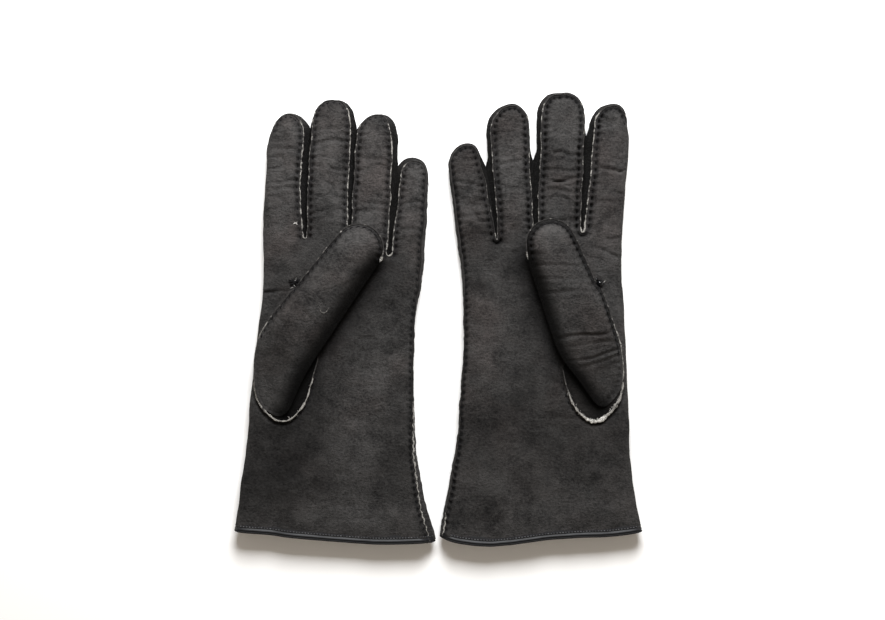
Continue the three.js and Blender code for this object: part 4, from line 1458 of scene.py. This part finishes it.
class Nodes:
    """Small helper to write a material's node tree."""

    def __init__(self, name):
        self.material = bpy.data.materials.new(name)
        self.material.use_nodes = True
        self.tree = self.material.node_tree
        self.shader = self.tree.nodes["Principled BSDF"]
        self.rest = self.add("ShaderNodeAttribute", attribute_name="rest").outputs["Vector"]

    def add(self, kind, **values):
        node = self.tree.nodes.new(kind)
        for key, value in values.items():
            setattr(node, key, value)
        return node

    def feed(self, *pairs):
        """Sets each socket to its number or colour, or links it to the output that feeds it."""
        for socket, value in pairs:
            if isinstance(value, bpy.types.NodeSocket):
                self.tree.links.new(value, socket)
            elif isinstance(value, tuple) and len(socket.default_value) == 4:
                socket.default_value = (*value, 1)
            else:
                socket.default_value = value

    def attribute(self, name):
        return self.add("ShaderNodeAttribute", attribute_name=name).outputs["Fac"]

    def stretched(self, scale):
        node = self.add("ShaderNodeMapping")
        self.feed((node.inputs["Scale"], scale), (node.inputs["Vector"], self.rest))
        return node.outputs["Vector"]

    def noise(self, scale, detail=3.0, rough=0.55, vector=None, distortion=0.0):
        node = self.add("ShaderNodeTexNoise")
        values = {"Scale": scale, "Detail": detail, "Roughness": rough, "Distortion": distortion}
        self.feed(*((node.inputs[key], value) for key, value in values.items()))
        self.feed((node.inputs["Vector"], vector or self.rest))
        return node.outputs["Fac"]

    def math(self, operation, a, b):
        node = self.add("ShaderNodeMath", operation=operation)
        self.feed(*zip(node.inputs, (a, b)))
        return node.outputs[0]

    def total(self, *terms):
        """The sum of (output, weight) terms."""
        total = self.math("MULTIPLY", *terms[0])
        for term in terms[1:]:
            total = self.math("ADD", total, self.math("MULTIPLY", *term))
        return total

    def ramp(self, factor, *stops):
        node = self.add("ShaderNodeValToRGB")
        for element, (at, color) in zip(node.color_ramp.elements, stops):
            element.position = at
            element.color = (*color, 1)
        self.feed((node.inputs["Fac"], factor))
        return node.outputs["Color"]

    def mix(self, factor, a, b, blend_type="MIX"):
        node = self.add("ShaderNodeMix", data_type="RGBA", blend_type=blend_type)
        self.feed((node.inputs[0], factor), (node.inputs[6], a), (node.inputs[7], b))
        return node.outputs[2]

    def scaled(self, color, factor):
        node = self.add("ShaderNodeVectorMath", operation="SCALE")
        self.feed((node.inputs[0], color), (node.inputs["Scale"], factor))
        return node.outputs[0]

    def bump(self, height, strength, distance):
        node = self.add("ShaderNodeBump")
        values = {"Strength": strength, "Distance": distance, "Height": height}
        self.feed(*((node.inputs[key], value) for key, value in values.items()))
        self.set(Normal=node.outputs["Normal"])

    def set(self, **values):
        """Feeds the shader; an underscore stands for a space in a socket's name."""
        self.feed(*((self.shader.inputs[key.replace("_", " ")], value) for key, value in values.items()))


def suede_material(name, dark, light, brown, rim_and_hole_shade):
    """Napped hide: broad mottling, a fine grain, brown patches, and painted shade at seams and in holes."""
    m = Nodes(name)
    broad = m.noise(4.4, 5.0, 0.66, distortion=0.5)
    cloud = m.noise(17.0, 4.0, 0.6)
    nap = m.noise(75.0, 3.0, 0.6, m.stretched((0.85, 1.15, 1)))
    grain = m.noise(240.0, 2.0, 0.7)
    mottle = m.total((broad, 0.34), (cloud, 0.13), (nap, 0.26), (grain, 0.27))
    color = m.ramp(mottle, (0.395, dark), (0.605, light))
    warm = m.math("MULTIPLY", m.ramp(m.noise(3.1, 3.0, 0.5), (0.45, BLACK), (0.68, WHITE)), 0.55)
    place = m.add("ShaderNodeSeparateXYZ")
    m.feed((place.inputs["Vector"], m.rest))
    above_cuff = m.math("ADD", m.math("MULTIPLY", place.outputs["Y"], 0.5), 0.7)
    warm = m.math("MULTIPLY", warm, m.ramp(above_cuff, (0.2, (0.3, 0.3, 0.3)), (0.5, WHITE)))
    color = m.mix(warm, color, m.mix(1.0, color, brown, "MULTIPLY"))
    # Painted shade from the edge attribute: seams, crevices and the thumb's folded side.
    shade = m.mix(m.attribute("edge"), WHITE, (0.62, 0.62, 0.63))
    color = m.mix(1.0, color, shade, "MULTIPLY")
    # Painted shade in stitch holes and on the flange, with the flange's own dark leather.
    color = m.mix(m.attribute("ring"), color, rim_and_hole_shade)
    m.set(Base_Color=m.scaled(color, m.attribute("tone")), Roughness=0.93, Specular_IOR_Level=0.05)
    m.set(Sheen_Weight=0.03, Sheen_Roughness=0.5, Sheen_Tint=(0.75, 0.72, 0.70))
    m.bump(m.total((grain, 0.5), (nap, 0.6), (cloud, 0.7)), 1.0, 0.0023)
    return m.material


def raw_edge_material():
    """Cut hide: pale and fibrous where the cream attribute is high, dark where the dye reached it."""
    m = Nodes("raw_edge")
    fibre = m.noise(230.0, 5.0, 0.75)
    patch = m.noise(38.0, 3.0, 0.6)
    cream = m.attribute("cream")
    dull = m.ramp(fibre, (0.3, (0.013, 0.012, 0.012)), (0.7, (0.045, 0.042, 0.040)))
    pale = m.ramp(fibre, (0.40, (0.03, 0.029, 0.027)), (0.60, (0.42, 0.40, 0.37)))
    white = m.ramp(fibre, (0.42, (0.10, 0.097, 0.09)), (0.55, (0.80, 0.78, 0.74)))
    fleck = m.ramp(m.noise(80.0, 3.0, 0.7), (0.40, (0.18, 0.18, 0.18)), (0.56, WHITE))
    very = m.math("MULTIPLY", m.ramp(m.math("MULTIPLY", cream, 0.5), (0.57, BLACK), (0.66, WHITE)), fleck)
    amount = m.math("ADD", cream, m.math("MULTIPLY", m.math("SUBTRACT", patch, 0.55), 2.8))
    amount = m.ramp(amount, (0.30, BLACK), (0.72, WHITE))
    m.set(Base_Color=m.mix(amount, dull, m.mix(very, pale, white)), Roughness=0.95, Specular_IOR_Level=0.2)
    m.bump(fibre, 0.8, 0.0005)
    return m.material


def binding_material():
    """Smooth finished hide with a faint grain, darker on its rolled edge."""
    m = Nodes("binding")
    rolled = m.attribute("edge")
    color = m.ramp(m.noise(14.0, 3.0, 0.5), (0.35, (0.0065, 0.0068, 0.008)), (0.65, (0.012, 0.0125, 0.0145)))
    matt = m.math("SUBTRACT", m.math("ADD", 0.52, m.math("MULTIPLY", rolled, 0.3)), m.attribute("gloss"))
    m.set(Base_Color=m.mix(rolled, color, (0.0025, 0.0025, 0.003)), Roughness=matt, Specular_IOR_Level=0.29)
    m.bump(m.noise(120.0, 4.0, 0.6), 0.25, 0.0003)
    return m.material


def thread_material():
    """Black hand thread, and greyer machine thread where the cream attribute is 1."""
    m = Nodes("thread")
    twist = m.noise(160.0, 2.0, 0.5)
    dark = m.ramp(twist, (0.35, (0.003, 0.003, 0.0035)), (0.7, (0.010, 0.0095, 0.010)))
    worn = m.ramp(twist, (0.35, (0.022, 0.022, 0.024)), (0.7, (0.12, 0.12, 0.125)))
    m.set(Base_Color=m.mix(m.attribute("cream"), dark, worn), Roughness=0.7, Specular_IOR_Level=0.07)
    m.bump(twist, 0.5, 0.0002)
    return m.material


def fleece_material():
    m = Nodes("fleece")
    curl = m.noise(90.0, 5.0, 0.7, distortion=0.8)
    color = m.ramp(curl, (0.3, (0.40, 0.37, 0.32)), (0.7, (0.78, 0.74, 0.66)))
    m.set(Base_Color=color, Roughness=1.0, Specular_IOR_Level=0.1, Sheen_Weight=0.4, Sheen_Roughness=0.5)
    m.bump(curl, 1.0, 0.0015)
    return m.material


def make_materials():
    """One material per slot. A suede has dark and light tones, a brown tint, and a painted-shade colour."""
    palm = ((0.0105, 0.0104, 0.0106), (0.0715, 0.0685, 0.0668), (1.0, 0.86, 0.83), (0.0042, 0.0041, 0.0043))
    # The fourchettes get a darker copy of the suede: painted shade in the gaps between the fingers.
    wall = ((0.005, 0.005, 0.005), (0.029, 0.0280, 0.0275), (1.0, 0.92, 0.9), (0.006, 0.006, 0.006))
    materials[SUEDE] = suede_material("suede", *palm)
    materials[SHADED_FOURCHETTE] = suede_material("fourchette_suede", *wall)
    materials[RAW] = raw_edge_material()
    materials[BINDING] = binding_material()
    materials[THREAD] = thread_material()
    materials[FLEECE] = fleece_material()


# ---- what each piece stands for ----
HAND_NODES = {
    "hand_palm_skin": ("palm_panel",),
    "hand_back_skin": ("back_panel",),
    "hand_fourchettes": ("fourchette_fork_index_middle", "fourchette_fork_middle_ring",
                         "fourchette_fork_ring_little", "little_side_wall", "index_side_fold"),
    "hand_raw_edges": ("side_seam_welt",),
    "cuff_band": ("cuff_binding",),
    "thumb_gusset_skin": ("thumb_gusset",),
    "thumb_hole_raw_edge": ("thumb_hole_welt",),
    "thumb_skin": ("thumb_sleeve",),
}


def replace_nodes(side):
    """Hides the CAD nodes that the pieces stand for."""
    for piece, nodes in HAND_NODES.items():
        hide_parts(*[f"{side}_{node}" for node in nodes])
    hand = [f"{side}_{node}" for nodes in HAND_NODES.values() for node in nodes]
    for start in (f"{side}_{finger}_" for finger in FINGERS):
        front, back = start + "front", start + "back"
        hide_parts(front)
        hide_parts(back)
        others = (front, back, *hand)
        walls = [node for node in frame["nodes"] if node.startswith(start) and node not in others]
        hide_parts(*walls)


# ---- floor, light, camera ----
CAMERA_HEIGHT = 0.82
VIEW_CENTRE = (0.0024, 0.0054)
VIEW_WIDTH = 0.5354  # at VIEW_PLANE above the floor
VIEW_PLANE = 0.012
SENSOR = 36
KEY_PLACE = Vector((0.05, 0.53, 0.56))
KEY_SIZE = (0.40, 0.36)
KEY_POWER = 13.2


def make_floor():
    mesh = bpy.data.meshes.new("floor")
    mesh.from_pydata([(-3, -3, 0), (3, -3, 0), (3, 3, 0), (-3, 3, 0)], [], [(0, 1, 2, 3)])
    material = bpy.data.materials.new("floor")
    material.use_nodes = True
    shader = material.node_tree.nodes["Principled BSDF"]
    shader.inputs["Base Color"].default_value = (0.93, 0.925, 0.915, 1)
    shader.inputs["Roughness"].default_value = 0.9
    mesh.materials.append(material)
    placed("floor", mesh)


def make_light():
    """One large soft light from beyond the fingertips, and a dim warm room."""
    world = bpy.data.worlds.new("studio")
    world.use_nodes = True
    room = world.node_tree.nodes["Background"]
    room.inputs["Color"].default_value = (1, 0.89, 0.765, 1)
    room.inputs["Strength"].default_value = 0.34
    bpy.context.scene.world = world
    light = bpy.data.lights.new("key", "AREA")
    light.shape = "RECTANGLE"
    light.size, light.size_y = KEY_SIZE
    light.energy = KEY_POWER
    light.color = (0.97, 0.985, 1)
    key = placed("key", light)
    key.location = KEY_PLACE
    key.rotation_euler = (-KEY_PLACE).to_track_quat("-Z", "Y").to_euler()


def make_camera():
    """Straight above, as in the photograph."""
    lens = bpy.data.cameras.new("camera")
    lens.sensor_width = SENSOR
    lens.lens = SENSOR * (CAMERA_HEIGHT - VIEW_PLANE) / VIEW_WIDTH
    lens.clip_start = 0.01
    camera = placed("camera", lens)
    camera.location = (*VIEW_CENTRE, CAMERA_HEIGHT)
    bpy.context.scene.camera = camera
    bpy.context.scene.view_settings.view_transform = "Standard"


def build():
    make_materials()
    for side in SIDES:
        glove = Glove(side)
        thumb = Thumb(glove)
        palm_skin(glove, thumb)
        back_skin(glove)
        edge_walls(glove)
        finger_seams(glove)
        gusset_patch(glove, thumb)
        thumb_skin(glove, thumb)
        thumb_seams(glove, thumb)
        lint(glove, thumb, knot(glove, thumb))
        fuzz(glove, thumb)
        cuff(glove)
        replace_nodes(side)
    make_floor()
    make_light()
    make_camera()


build()
